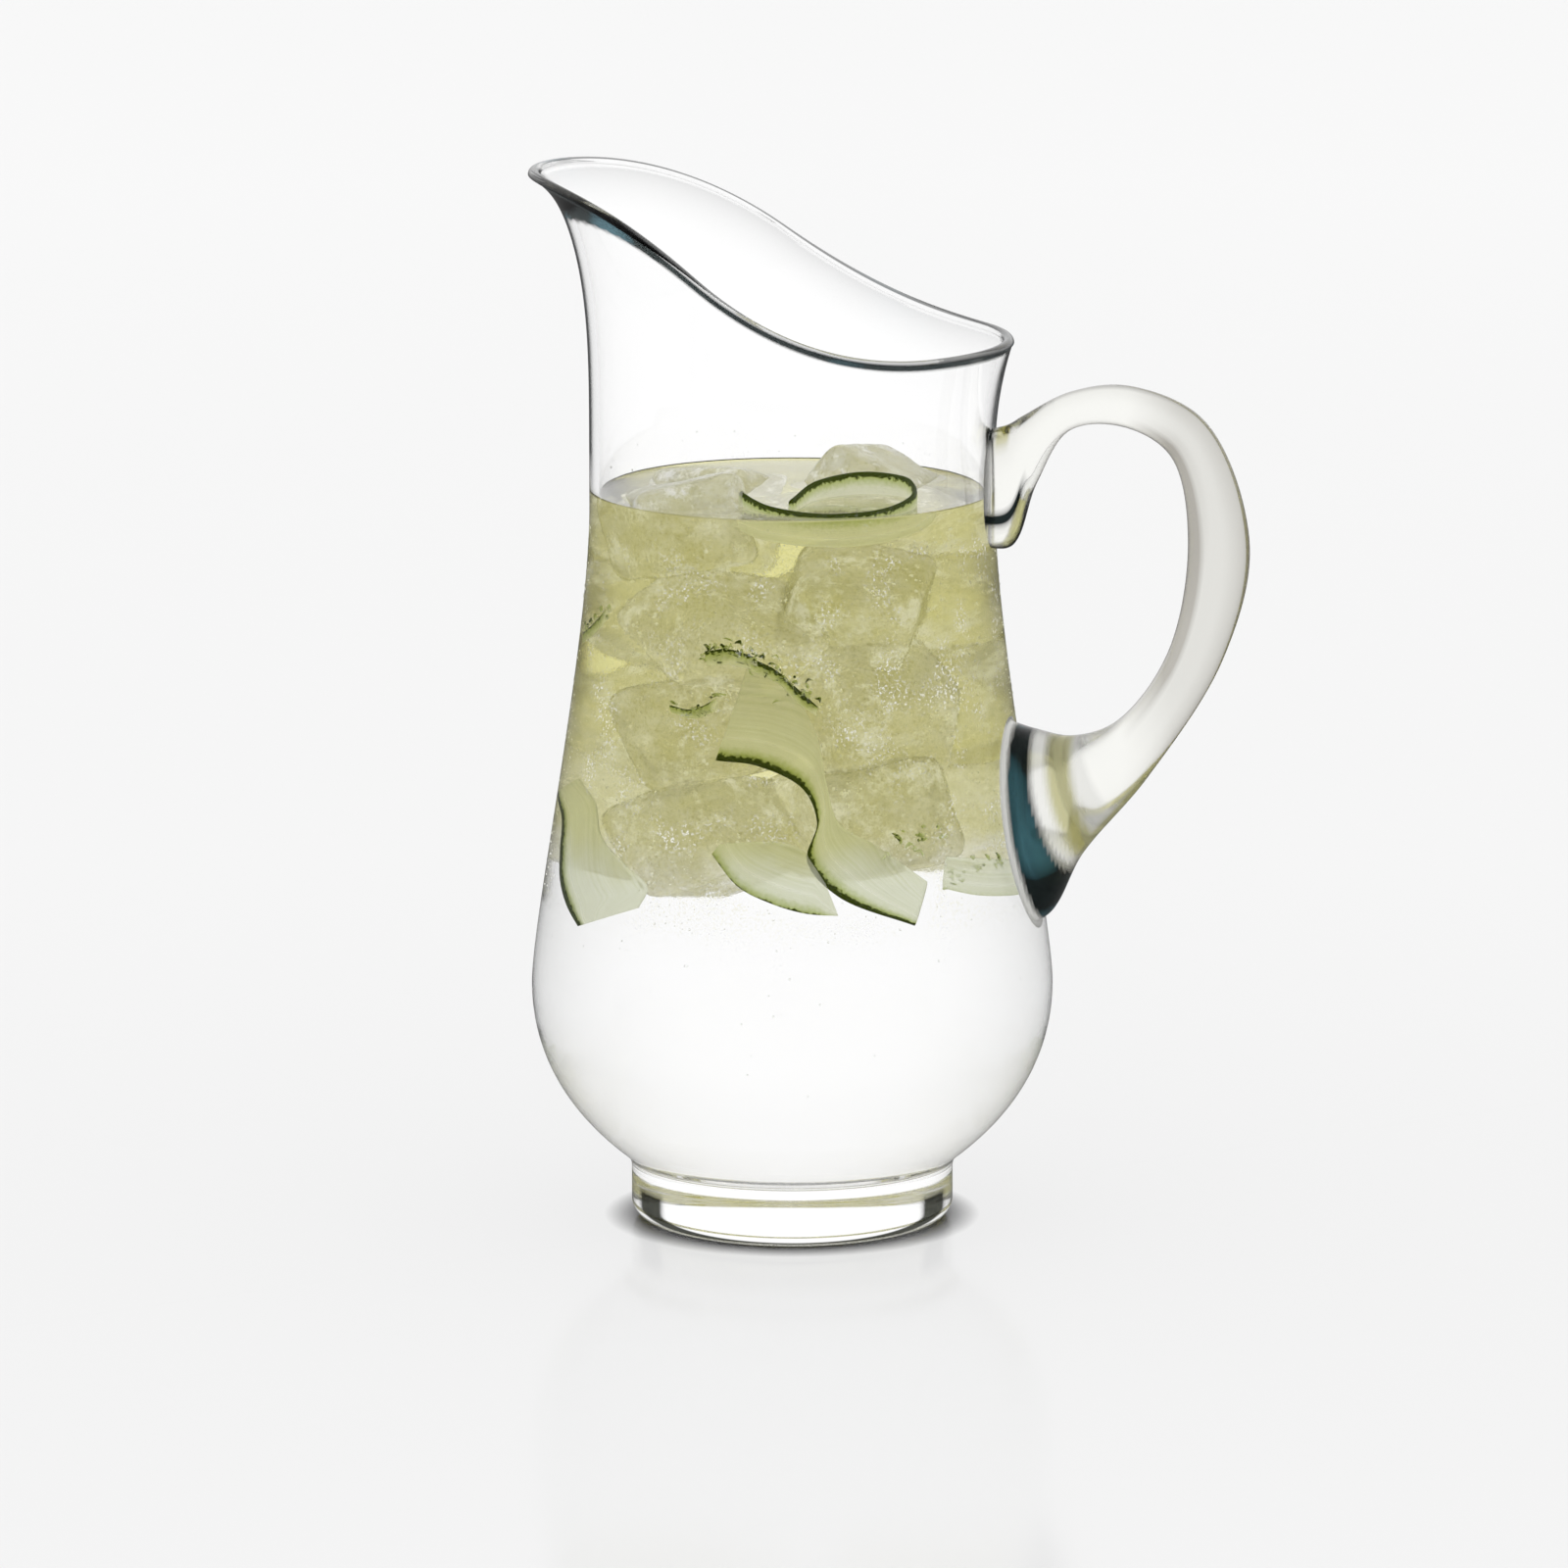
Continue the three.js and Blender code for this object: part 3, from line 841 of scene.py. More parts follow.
def bezier(first: tuple, second: tuple, third: tuple, fourth: tuple, steps: int) -> Points:
    """Gives points along a cubic curve and, in two more columns, its unit direction at each.

    Args:
        first: Where the curve starts.
        second: What it heads for at its start.
        third: What it comes from at its end.
        fourth: Where it ends.
        steps: How many stretches it has.

    Returns:
        Rows of x, y, direction x and direction y.
    """
    a, b, c, d = (np.array(p) for p in (first, second, third, fourth))
    t = np.linspace(0, 1, steps + 1)[:, None]
    place = (1 - t) ** 3 * a + 3 * (1 - t) ** 2 * t * b + 3 * (1 - t) * t ** 2 * c + t ** 3 * d
    along = (1 - t) ** 2 * (b - a) + 2 * (1 - t) * t * (c - b) + t ** 2 * (d - c)
    return np.hstack([place, along / np.linalg.norm(along, axis=1, keepdims=True)])


def arc(centre: tuple, radius: float, start: float, stop: float, steps: int) -> Points:
    """Gives points on a round arc.

    Args:
        centre: Its centre.
        radius: Its radius.
        start: The angle where it starts, in radians.
        stop: The angle where it ends.
        steps: How many stretches it has.

    Returns:
        Rows of x and y.
    """
    turns = np.linspace(start, stop, steps + 1)
    return np.column_stack([centre[0] + radius * np.cos(turns), centre[1] + radius * np.sin(turns)])


def band(values: np.ndarray, start: float, stop: float, soft: float) -> np.ndarray:
    """Gives 1 between two values and 0 outside, with soft edges.

    Args:
        values: The values to look at.
        start: Where the band starts.
        stop: Where it ends.
        soft: How wide its edges are.

    Returns:
        A share for each value.
    """
    return np.clip(np.minimum(values - start, stop - values) / soft + 0.5, 0, 1)


def smooth_line(knots: Points, count: int) -> Points:
    """Gives a line through knots whose pace follows the square root of their distances.

    Args:
        knots: The points that the line passes through.
        count: How many points it gets.

    Returns:
        The line's points.
    """
    ends = [2 * knots[0] - knots[1], 2 * knots[-1] - knots[-2]]
    padded = np.vstack([ends[:1], knots, ends[1:]])
    line = []
    for share in np.linspace(0, len(knots) - 1, count):
        at = min(int(share), len(knots) - 2)
        p, t = padded[at:at + 4], share - at
        gaps = np.linalg.norm(np.diff(p, axis=0), axis=1) ** 0.5
        slopes = np.diff(p, axis=0) / gaps[:, None]
        wide = [(p[k + 2] - p[k]) / (gaps[k] + gaps[k + 1]) for k in (0, 1)]
        leave = (slopes[0] - wide[0] + slopes[1]) * gaps[1]
        arrive = (slopes[1] - wide[1] + slopes[2]) * gaps[1]
        line.append(
            p[1] + leave * t
            + (-3 * p[1] + 3 * p[2] - 2 * leave - arrive) * t ** 2
            + (2 * p[1] - 2 * p[2] + leave + arrive) * t ** 3
        )
    return np.array(line)


@dataclass
class BowlShape:
    """The sizes of the blown glass, and the curves that follow from them."""

    foot_radius: float = 46 * MM
    seat: float = 17.3 * MM
    belly_radius: float = 74.4 * MM
    belly_height: float = 68 * MM
    neck_radius: float = 57.5 * MM
    neck_height: float = 206 * MM
    bowl_angle: float = math.radians(36)
    bowl_spring: float = 18 * MM
    belly_below: float = 24 * MM
    belly_above: float = 18 * MM
    neck_below: float = 39 * MM
    wall: float = 2.7 * MM
    floor: float = 5.2 * MM
    steps: int = 56
    lower: Points = field(init=False)
    upper: Points = field(init=False)

    def __post_init__(self) -> None:
        """Draws the lower and the upper curve of the outside."""
        spring = (math.cos(self.bowl_angle) * self.bowl_spring, math.sin(self.bowl_angle) * self.bowl_spring)
        self.lower = bezier(
            (self.foot_radius, self.seat),
            (self.foot_radius + spring[0], self.seat + spring[1]),
            (self.belly_radius, self.belly_height - self.belly_below),
            (self.belly_radius, self.belly_height),
            self.steps,
        )
        self.upper = bezier(
            (self.belly_radius, self.belly_height),
            (self.belly_radius, self.belly_height + self.belly_above),
            (self.neck_radius, self.neck_height - self.neck_below),
            (self.neck_radius, self.neck_height),
            self.steps,
        )

    def outside(self) -> Points:
        """Gives the outside of the bowl, from the foot to the neck."""
        return np.vstack([self.lower[:, :2], self.upper[1:, :2]])

    def inside(self, gap: float = 0.0) -> Points:
        """Gives the inside of the bowl, from the floor's edge to the neck.

        Args:
            gap: How far the line is moved in from the glass, or out into it where negative.

        Returns:
            Rows of radius and height.
        """
        thick = self.floor / math.cos(self.bowl_angle)
        by = np.concatenate([
            np.linspace(thick, self.wall, self.steps + 1),
            np.full(self.steps, self.wall),
        ])[:, None] + gap
        curve = np.vstack([self.lower, self.upper[1:]])
        return curve[:, :2] + by * np.column_stack([-curve[:, 3], curve[:, 2]])

    def radius_inside(self, height: np.ndarray) -> np.ndarray:
        """Gives the inside radius at a height."""
        curve = self.inside()
        return np.interp(height, curve[:, 1], curve[:, 0])

    def radius_outside(self, height: np.ndarray) -> np.ndarray:
        """Gives the outside radius at a height."""
        curve = self.outside()
        return np.interp(height, curve[:, 1], curve[:, 0])


@dataclass
class BlownBody:
    """The blown bowl and neck, with the rim cut in a sweep and the lip drawn out."""

    shape: BowlShape
    # The swept rim, the lip and the heel
    rim_low: float = 254.4 * MM
    rim_low_at: float = 50 * MM
    lip_rise: float = 46.7 * MM
    lip_crest_at: float = 80.5 * MM
    lip_spread: float = 13 * MM
    lip_roll: float = 4.8 * MM
    lip_narrowness: float = 8.2
    heel_spread: float = 4.9 * MM
    heel_power: float = 2.0
    flare_start: float = 222 * MM
    lean_power: float = 3.5
    roll_power: float = 20.0
    bead: float = 1.7 * MM
    # How finely it is divided
    bead_steps: int = 18
    sides: int = SIDES
    neck_rows: int = 44
    row_power: float = 1.7
    crease: float = 0.02
    # Mist on the cold wall
    mist_high: float = 208 * MM
    mist_fade: float = 9 * MM
    mist_heights: tuple = (40 * MM, 70 * MM, 92 * MM, 106 * MM)
    mist_shares: tuple = (0.0, 0.03, 0.08, 1.0)
    # Painted shade: dark bands on the rim and the lip and beside the handle, standing in for dark
    # reflections
    dark_from: float = 0.7 * MM
    dark_soft: float = 0.6 * MM
    dark_rim: float = 2.9 * MM
    dark_lip: float = 12 * MM
    dark_narrowness: float = 9.0
    root_width: float = math.radians(5)
    root_band: tuple = (216 * MM, 250 * MM, 8 * MM)
    dark_width: float = 16 * MM
    # Painted grey shade inside the mouth, and a painted bright band on the bead
    mouth_grey: float = 0.42
    mouth_fade: float = 8 * MM
    bright_rim: float = 2.6 * MM
    rim_light: float = 0.45
    # How far painted shade darkens the wall edge on, and a painted outline on the far bead
    wet_edge: float = 0.08
    outline: float = 0.85
    outline_rows: int = 4
    inner_edge: float = 0.1
    foot_end: float = 26 * MM
    foot_soft: float = 6 * MM
    # Painted grey shade on the bowl
    haze: float = 0.08
    haze_heights: tuple = (56 * MM, 100 * MM, 116 * MM)
    belly_grey: float = 0.28
    belly_band: tuple = (42 * MM, 120 * MM, 20 * MM)

    def profile(self) -> Points:
        """Gives the straight-necked profile that the mouth is drawn from.

        Returns:
            Rows of radius and height.
        """
        top = self.rim_low + self.lip_rise - self.bead
        shares = 1 - (1 - np.linspace(0, 1, self.neck_rows)) ** self.row_power
        rows = (self.flare_start + shares * (top - self.flare_start))[:-1]
        neck_inside = self.shape.neck_radius - self.shape.wall
        middle = (self.shape.neck_radius - self.shape.wall / 2, top)
        bead = arc(middle, self.bead, 0, math.pi, self.bead_steps)
        outside = self.shape.outside()
        corner = outside[0] + (outside[1] - outside[0]) * self.crease
        return np.vstack([
            [[0, self.shape.seat], [outside[0, 0] * (1 - self.crease), self.shape.seat]],
            outside[:1],
            [corner],
            outside[1:],
            np.column_stack([np.full(len(rows), self.shape.neck_radius), rows]),
            bead,
            np.column_stack([np.full(len(rows), neck_inside), rows[::-1]]),
            self.shape.inside()[::-1],
            [[0, self.shape.seat + self.shape.floor]],
        ])

    def mouth_tool(self, material: Material) -> GeometryTool:
        """Builds the tree that draws a straight neck out to the lip and cuts its top to the swept rim.

        Args:
            material: The glass.

        Returns:
            The tool, whose inputs are the rim's sizes.
        """
        tool = GeometryTool("drawn_mouth")
        tree = tool.tree
        place = add(tree, "GeometryNodeInputPosition")
        apart = add(tree, "ShaderNodeSeparateXYZ", {0: place})
        flat = add(tree, "ShaderNodeVectorMath", {0: place, 1: (1.0, 1.0, 0.0)}, operation="MULTIPLY")
        radius = add(tree, "ShaderNodeVectorMath", {0: flat}, operation="LENGTH").outputs["Value"]
        known = {"x": apart.outputs["X"], "z": apart.outputs["Z"], "radius": radius}
        for name in (
            "Lip narrowness", "Lip spread", "Lip roll", "Lip rise", "Lip crest at", "Heel spread",
            "Flare start", "Bead foot", "Bead", "Neck radius", "Rim low", "Rim low at",
        ):
            known[name] = tool.size(name)
        clamped = ("share", "along")
        for name, operation, *inputs in (
            # How much of the lip's and of the heel's spread each turn takes
            ("cosine", "DIVIDE", "x", "radius"),
            ("away", "MULTIPLY_ADD", "cosine", -0.5, 0.5),
            ("near", "MULTIPLY_ADD", "cosine", 0.5, 0.5),
            ("lipward", "POWER", "away", "Lip narrowness"),
            ("heelward", "POWER", "near", self.heel_power),
            ("heel", "MULTIPLY", "heelward", "Heel spread"),
            # The share of the way up to the bead
            ("rise", "SUBTRACT", "z", "Flare start"),
            ("span", "SUBTRACT", "Bead foot", "Flare start"),
            ("share", "DIVIDE", "rise", "span"),
            # Spread at this height, and at the rim
            ("lean", "POWER", "share", self.lean_power),
            ("curl", "POWER", "share", self.roll_power),
            ("square", "POWER", "share", 2.0),
            ("rolled", "MULTIPLY", "curl", "Lip roll"),
            ("leaned", "MULTIPLY_ADD", "lean", "Lip spread", "rolled"),
            ("heeled", "MULTIPLY", "heel", "square"),
            ("spread", "MULTIPLY_ADD", "leaned", "lipward", "heeled"),
            ("most", "ADD", "Lip spread", "Lip roll"),
            ("widest", "MULTIPLY_ADD", "most", "lipward", "heel"),
            # The swept rim, two matching arcs from the heel to the crest
            ("rim radius", "ADD", "widest", "Neck radius"),
            ("rim x", "MULTIPLY", "rim radius", "cosine"),
            ("behind", "SUBTRACT", "Rim low at", "rim x"),
            ("length", "ADD", "Rim low at", "Lip crest at"),
            ("along", "DIVIDE", "behind", "length"),
            ("doubled", "MULTIPLY_ADD", "along", 2.0, -1.0),
            ("past", "MAXIMUM", "doubled", 0.0),
            ("past square", "MULTIPLY", "past", "past"),
            ("along square", "MULTIPLY", "along", "along"),
            ("twice", "MULTIPLY", "along square", 2.0),
            ("sweep", "SUBTRACT", "twice", "past square"),
            ("rim", "MULTIPLY_ADD", "sweep", "Lip rise", "Rim low"),
            # The new place: wider, and between the flare's start and the rim
            ("wider", "DIVIDE", "spread", "radius"),
            ("grow", "ADD", "wider", 1.0),
            ("under bead", "SUBTRACT", "rim", "Bead"),
            ("reach", "SUBTRACT", "under bead", "Flare start"),
            ("lifted", "MULTIPLY_ADD", "reach", "share", "Flare start"),
            ("over", "SUBTRACT", "z", "Bead foot"),
            ("in bead", "MAXIMUM", "over", 0.0),
            ("height", "ADD", "lifted", "in bead"),
        ):
            feeds = {at: known.get(value, value) for at, value in enumerate(inputs)}
            known[name] = add(tree, "ShaderNodeMath", feeds, operation=operation, use_clamp=name in clamped)
        drawn = add(tree, "ShaderNodeVectorMath", {0: flat, "Scale": known["grow"]}, operation="SCALE")
        drawn_apart = add(tree, "ShaderNodeSeparateXYZ", {0: drawn})
        target = add(tree, "ShaderNodeCombineXYZ", {
            0: drawn_apart.outputs["X"], 1: drawn_apart.outputs["Y"], 2: known["height"],
        })
        above = add(tree, "FunctionNodeCompare", {0: known["rise"], 1: 0.0}, operation="GREATER_THAN")
        moved = add(tree, "GeometryNodeSetPosition", {
            "Geometry": tool.start, "Selection": above, "Position": target,
        })
        tool.end(moved, material)
        return tool

    def build(self, glass: Material) -> Piece:
        """Builds the body.

        Args:
            glass: Its material.

        Returns:
            The piece, with its mist stored on its points.
        """
        profile = self.profile()
        piece = lathe("glass_body", profile, self.sides, glass)
        bead_foot = self.rim_low + self.lip_rise - self.bead
        self.mouth_tool(glass).apply(
            piece, **vars(self), bead_foot=bead_foot, neck_radius=self.shape.neck_radius,
        )
        self.store_looks(piece, int(profile[:, 1].argmax()))
        return seat(piece, Slot.GLASS, "blown_body")

    def store_looks(self, piece: Piece, outside_rows: int) -> None:
        """Stores the mist, the painted dark bands and grey, how far painted shade darkens it edge on, and a
        painted bright bead.

        Args:
            piece: The finished body.
            outside_rows: How many rows of its points lie on the outside.
        """
        rows = points_of(piece)[:-2].reshape(-1, self.sides, 3)
        height = rows[:, :, 2]
        turn = np.arctan2(rows[:, :, 1], rows[:, :, 0])
        outer = np.broadcast_to((np.arange(len(rows)) < outside_rows)[:, None], turn.shape)
        below_rim = height.max(axis=0) - height
        lipward = ((1 - np.cos(turn)) / 2) ** self.dark_narrowness
        near = np.clip(0.5 - rows[:, :, 1] / self.dark_width, 0, 1)
        rim_end = self.dark_rim + self.dark_lip * lipward * near
        rim = outer * band(below_rim, self.dark_from, rim_end, self.dark_soft)
        root = outer * np.exp(-(turn / self.root_width) ** 2) * band(height, *self.root_band)
        bead = below_rim < self.bright_rim
        fading = np.exp((self.bright_rim - below_rim) / self.mouth_fade)
        mouth = (1 - outer) * ~bead * self.mouth_grey * fading
        crest = np.abs(np.arange(len(rows)) - outside_rows) < self.outline_rows
        outline = self.outline * (1 - near) * crest[:, None]
        rise = np.interp(height, self.mist_heights, self.mist_shares)
        fall = np.clip((self.mist_high - height) / self.mist_fade, 0, 1)
        above_foot = np.clip((height - self.foot_end) / self.foot_soft, 0, 1)
        outer_edge = np.where(height > self.mist_high, 1.0, self.wet_edge)
        edge = above_foot * np.where(outer | bead, outer_edge, self.inner_edge)
        belly = self.belly_grey * band(height, *self.belly_band)
        # Every look here but the mist is painted: dark bands, edge darkening and grey are painted shade, the
        # inner bead's bright band is painted light
        looks = {
            "shade": np.max([rim, root, mouth, outline], axis=0),
            "mist": outer * rise * fall,
            "edge": edge,
            "grey": outer * np.maximum(belly, below_rim < 2 * self.bead),
            "veil": outer * np.interp(height, self.haze_heights, (0, self.haze, 0)),
            "caught": (1 - outer) * bead * self.rim_light,
        }
        poles = [0, 0]
        point_attributes(piece, **{name: np.append(values, poles) for name, values in looks.items()})


@dataclass
class Foot:
    """The thick pressed disc under the bowl, drawn up into it in a small hollow curve."""

    shape: BowlShape
    edge: float = 5 * MM
    fillet: float = 6 * MM
    sink: float = 0.6 * MM
    crease: float = 0.06
    # Heights where painted shade darkens the foot where it is seen edge on
    dark_band: tuple = (0.8 * MM, 11.5 * MM, 1 * MM)
    edge_steps: int = 14
    side_rows: int = 5
    side_range: tuple = (1.2, 0.95)
    fillet_steps: int = 12
    sides: int = SIDES

    def build(self, glass: Material) -> Piece:
        """Builds the foot, whose top lies a little inside the bowl's glass so that the two are one.

        Args:
            glass: Its material.

        Returns:
            The piece.
        """
        radius = self.shape.foot_radius
        angle = self.shape.bowl_angle
        reach = self.fillet * math.tan((math.pi / 2 - angle) / 2)
        hollow = arc(
            (radius + self.fillet, self.shape.seat - reach), self.fillet,
            math.pi, math.pi / 2 + angle, self.fillet_steps,
        )
        side = np.linspace(self.edge * self.side_range[0], hollow[0, 1] * self.side_range[1], self.side_rows)
        inward = np.array([-math.sin(angle), math.cos(angle)]) * self.sink
        profile = np.vstack([
            [[0, 0]],
            arc((radius - self.edge, self.edge), self.edge, -math.pi / 2, 0, self.edge_steps),
            np.column_stack([np.full(self.side_rows, radius), side]),
            hollow,
            [hollow[-1] + inward * self.crease, hollow[-1] + inward],
            [[radius - self.sink, self.shape.seat + self.sink], [0, self.shape.seat + self.sink]],
        ])
        piece = lathe("glass_foot", profile, self.sides, glass)
        # Painted shade: the foot darkens where its wall is seen edge on
        point_attributes(piece, edge=band(points_of(piece)[:, 2], *self.dark_band))
        return seat(piece, Slot.GLASS, "foot")


@dataclass
class Handle:
    """The drawn rod of glass, with a folded tail at its upper joint and a spread pad at its lower one."""

    shape: BowlShape
    height: float = 118 * MM
    reach: float = 74 * MM
    rise: float = 125 * MM
    pad: float = 34 * MM
    sink: float = 0.5 * MM
    rings: int = 150
    sides: int = 44
    # Outlines in shares of the reach and the rise, and widths in shares of the pad
    outer: tuple = (
        (-0.055, 0.888), (0.061, 0.904), (0.128, 0.928), (0.304, 0.984), (0.534, 1.002), (0.824, 0.928),
        (0.999, 0.656), (0.862, 0.389), (0.504, 0.108), (0.203, -0.076), (0.054, -0.208), (-0.055, -0.248),
    )
    inner: tuple = (
        (-0.055, 0.624), (0.078, 0.628), (0.176, 0.772), (0.304, 0.896), (0.507, 0.91), (0.696, 0.848),
        (0.765, 0.664), (0.655, 0.404), (0.42, 0.238), (0.234, 0.198), (0.088, 0.21), (-0.055, 0.236),
    )
    widths: tuple = (0.41, 0.38, 0.38, 0.35, 0.34, 0.4, 0.505, 0.48, 0.56, 0.765, 0.97, 1.0)
    # Painted bands of the pad: dark shade for reflections, olive for the drink seen through it, and bright
    # strips
    pad_top: float = 152 * MM
    pad_drop: float = 60 * MM
    pad_bend: float = 9 * MM
    pad_soft: float = 4 * MM
    pad_bright: float = 1.5 * MM
    bright_soft: float = 0.8 * MM
    silver_soft: float = 0.6 * MM
    shade_end: tuple = (7 * MM, 1.6 * MM)
    olive_band: tuple = (11 * MM, 18 * MM, 2.2 * MM)
    under_band: tuple = (0.86, 2.0, 0.1)
    under_reach: tuple = (11 * MM, 40 * MM, 4 * MM)
    # Shares of painted light, where the glass turns diffuse white: a bright strip by the wall, a white band
    # past the dark one, the olive dulled
    silver: float = 0.55
    white: float = 0.55
    dull: float = 0.25
    # Painted grey shade along the rod
    far_band: tuple = (104 * MM, 1.0, 14 * MM)
    far_veil: float = 0.3
    inner_strip: tuple = (-2.0, -0.42, 0.12)
    inner_veil: float = 0.9
    outer_strip: tuple = (0.7, 2.0, 0.7)
    outer_veil: float = 0.55
    top_veil: float = 0.4
    # Painted dark and olive bands of the upper joint and its folded tail
    root_shade: tuple = (-1 * MM, 1.4 * MM, 0.8 * MM)
    root_olive: tuple = (2 * MM, 6 * MM, 1.2 * MM)
    root_side: tuple = (0.7, 2.0, 0.2)
    tail_band: tuple = (-1.0, 0.16, 0.03)
    fold_band: tuple = (-0.62, -0.34, 0.12)
    fold_edge: tuple = (-2.0, -0.9, 0.1)

    def line(self, stations: tuple) -> Points:
        """Gives a smooth line through stations of (share of reach, share of rise).

        Args:
            stations: The outer or the inner outline.

        Returns:
            Rows of distance from the axis, half width and height.
        """
        heights = np.array([self.height + rise * self.rise for _, rise in stations])
        away = self.shape.radius_outside(heights) + np.array([reach for reach, _ in stations]) * self.reach
        knots = np.column_stack([away, np.array(self.widths) * self.pad / 2, heights])
        return smooth_line(knots, self.rings)

    def turns(self) -> np.ndarray:
        """Gives the angles of a ring's points, from the outer side round by +Y."""
        return np.linspace(0, 2 * math.pi, self.sides, endpoint=False)

    def build(self, glass: Material) -> Piece:
        """Builds the handle, whose ends lie a little inside the body's wall so that the two are one.

        Args:
            glass: Its material.

        Returns:
            The piece.
        """
        outer, inner = self.line(self.outer), self.line(self.inner)
        middle = (outer + inner) / 2
        turns = self.turns()
        reach = (outer - inner)[:, None, :] / 2 * np.cos(turns)[None, :, None]
        points = middle[:, None, :] + reach
        points[:, :, 1] = outer[:, 1][:, None] * np.sin(turns)[None, :]
        points = np.vstack([points.reshape(-1, 3), points[[0, -1]].mean(axis=1)])
        radius = np.hypot(points[:, 0], points[:, 1])
        least = self.shape.radius_outside(points[:, 2]) - self.sink
        points[:, :2] *= (np.maximum(radius, least) / radius)[:, None]
        piece = mesh_piece("glass_handle", points, tube_faces(self.rings, self.sides), glass)
        face_outwards(piece)
        self.store_joints(piece)
        return seat(piece, Slot.GLASS, "handle")

    def store_joints(self, piece: Piece) -> None:
        """Stores painted shade on the joints, dark beside the wall or olive for the drink behind them,
        painted light and grey.

        Args:
            piece: The finished handle.
        """
        points = points_of(piece)
        away = np.hypot(points[:, 0], points[:, 1]) - self.shape.radius_outside(points[:, 2])
        below = self.pad_top - points[:, 2]
        low = np.clip(below / self.pad_soft, 0, 1)
        bent = away - self.pad_bend * np.clip(below / self.pad_drop, 0, 1) ** 2
        side = np.append(np.tile(np.cos(self.turns()), self.rings), [0, 0])
        along = np.append(np.repeat(np.linspace(0, 1, self.rings), self.sides), [0, 1])
        tail = band(along, *self.tail_band)
        fold = tail * np.maximum(band(side, *self.fold_band), band(side, *self.fold_edge))
        root = tail * band(side, *self.root_side)
        past_bright = band(away, self.pad_bright, 1.0, self.bright_soft)
        pad_dark = low * past_bright * band(bent, -1.0, *self.shade_end)
        under = band(side, *self.under_band) * band(bent, *self.under_reach)
        olive = low * np.maximum(band(bent, *self.olive_band), under) + root * band(away, *self.root_olive)
        far = band(points[:, 0], *self.far_band)
        within = self.inner_veil * band(side, *self.inner_strip)
        without = self.outer_veil * band(side, *self.outer_strip)
        top = (1 - low) * self.top_veil * np.clip(side, 0, 1) ** 2
        silver = band(away, -1.0, self.pad_bright, self.silver_soft) * self.silver
        white = band(bent, self.shade_end[0], self.olive_band[0], self.shade_end[1]) * self.white
        # All painted: dark bands and grey are painted shade, olive paints the drink seen through, the bright
        # strips are painted light
        point_attributes(
            piece,
            shade=np.clip(pad_dark + fold + root * band(away, *self.root_shade), 0, 1),
            olive=np.clip(olive, 0, 1),
            caught=low * np.max([silver, white, olive * self.dull], axis=0),
            edge=np.where(low > 0, past_bright, 1.0),
            veil=far * (self.far_veil + within + without) + (1 - far) * top,
            plain=tail,
        )


# What stands in the glass


@dataclass
class Drink:
    """The water, wetting the glass, with its edge drawn up where it meets the wall."""

    shape: BowlShape
    level: float = LEVEL
    skin: float = 0.1 * MM
    wetting: float = 0.35 * MM
    climb: float = 0.7 * MM
    climb_reach: float = 1.2 * MM
    edge_reach: float = 12 * MM
    edge_rings: int = 26
    rings: int = 14
    level_enough: float = 0.3
    sides: int = SIDES

    def build(self, water: Material, top: Material) -> Piece:
        """Builds the drink, whose skin lies a little inside the glass so that no air shows between them.

        Args:
            water: Its finish against the glass.
            top: The finish of its surface in the air.

        Returns:
            The piece.
        """
        wall = self.shape.inside(-self.wetting)
        radius = wall[-1, 0]
        bottom = self.shape.seat + self.shape.floor - self.wetting
        shares = np.linspace(0, 1, self.edge_rings)[1:-1] ** 2
        inward = np.linspace(self.edge_reach, radius, self.rings)[1:-1]
        away = np.concatenate([shares * self.edge_reach, inward])
        climbing = self.level + self.climb * np.exp(-away / self.climb_reach)
        surface = np.column_stack([radius - away, climbing])
        profile = np.vstack([
            [[0, bottom]],
            wall,
            [[radius, self.level], [radius, self.level + self.climb]],
            surface,
            [[0, self.level]],
        ])
        piece = lathe("cucumber_water", profile, self.sides, water)
        piece.data.materials.append(top)
        for face in piece.data.polygons:
            flat = face.normal.z > self.level_enough
            face.material_index = int(flat and face.center.z > self.level - self.skin)
        return seat(piece, Slot.WATER, "drink")


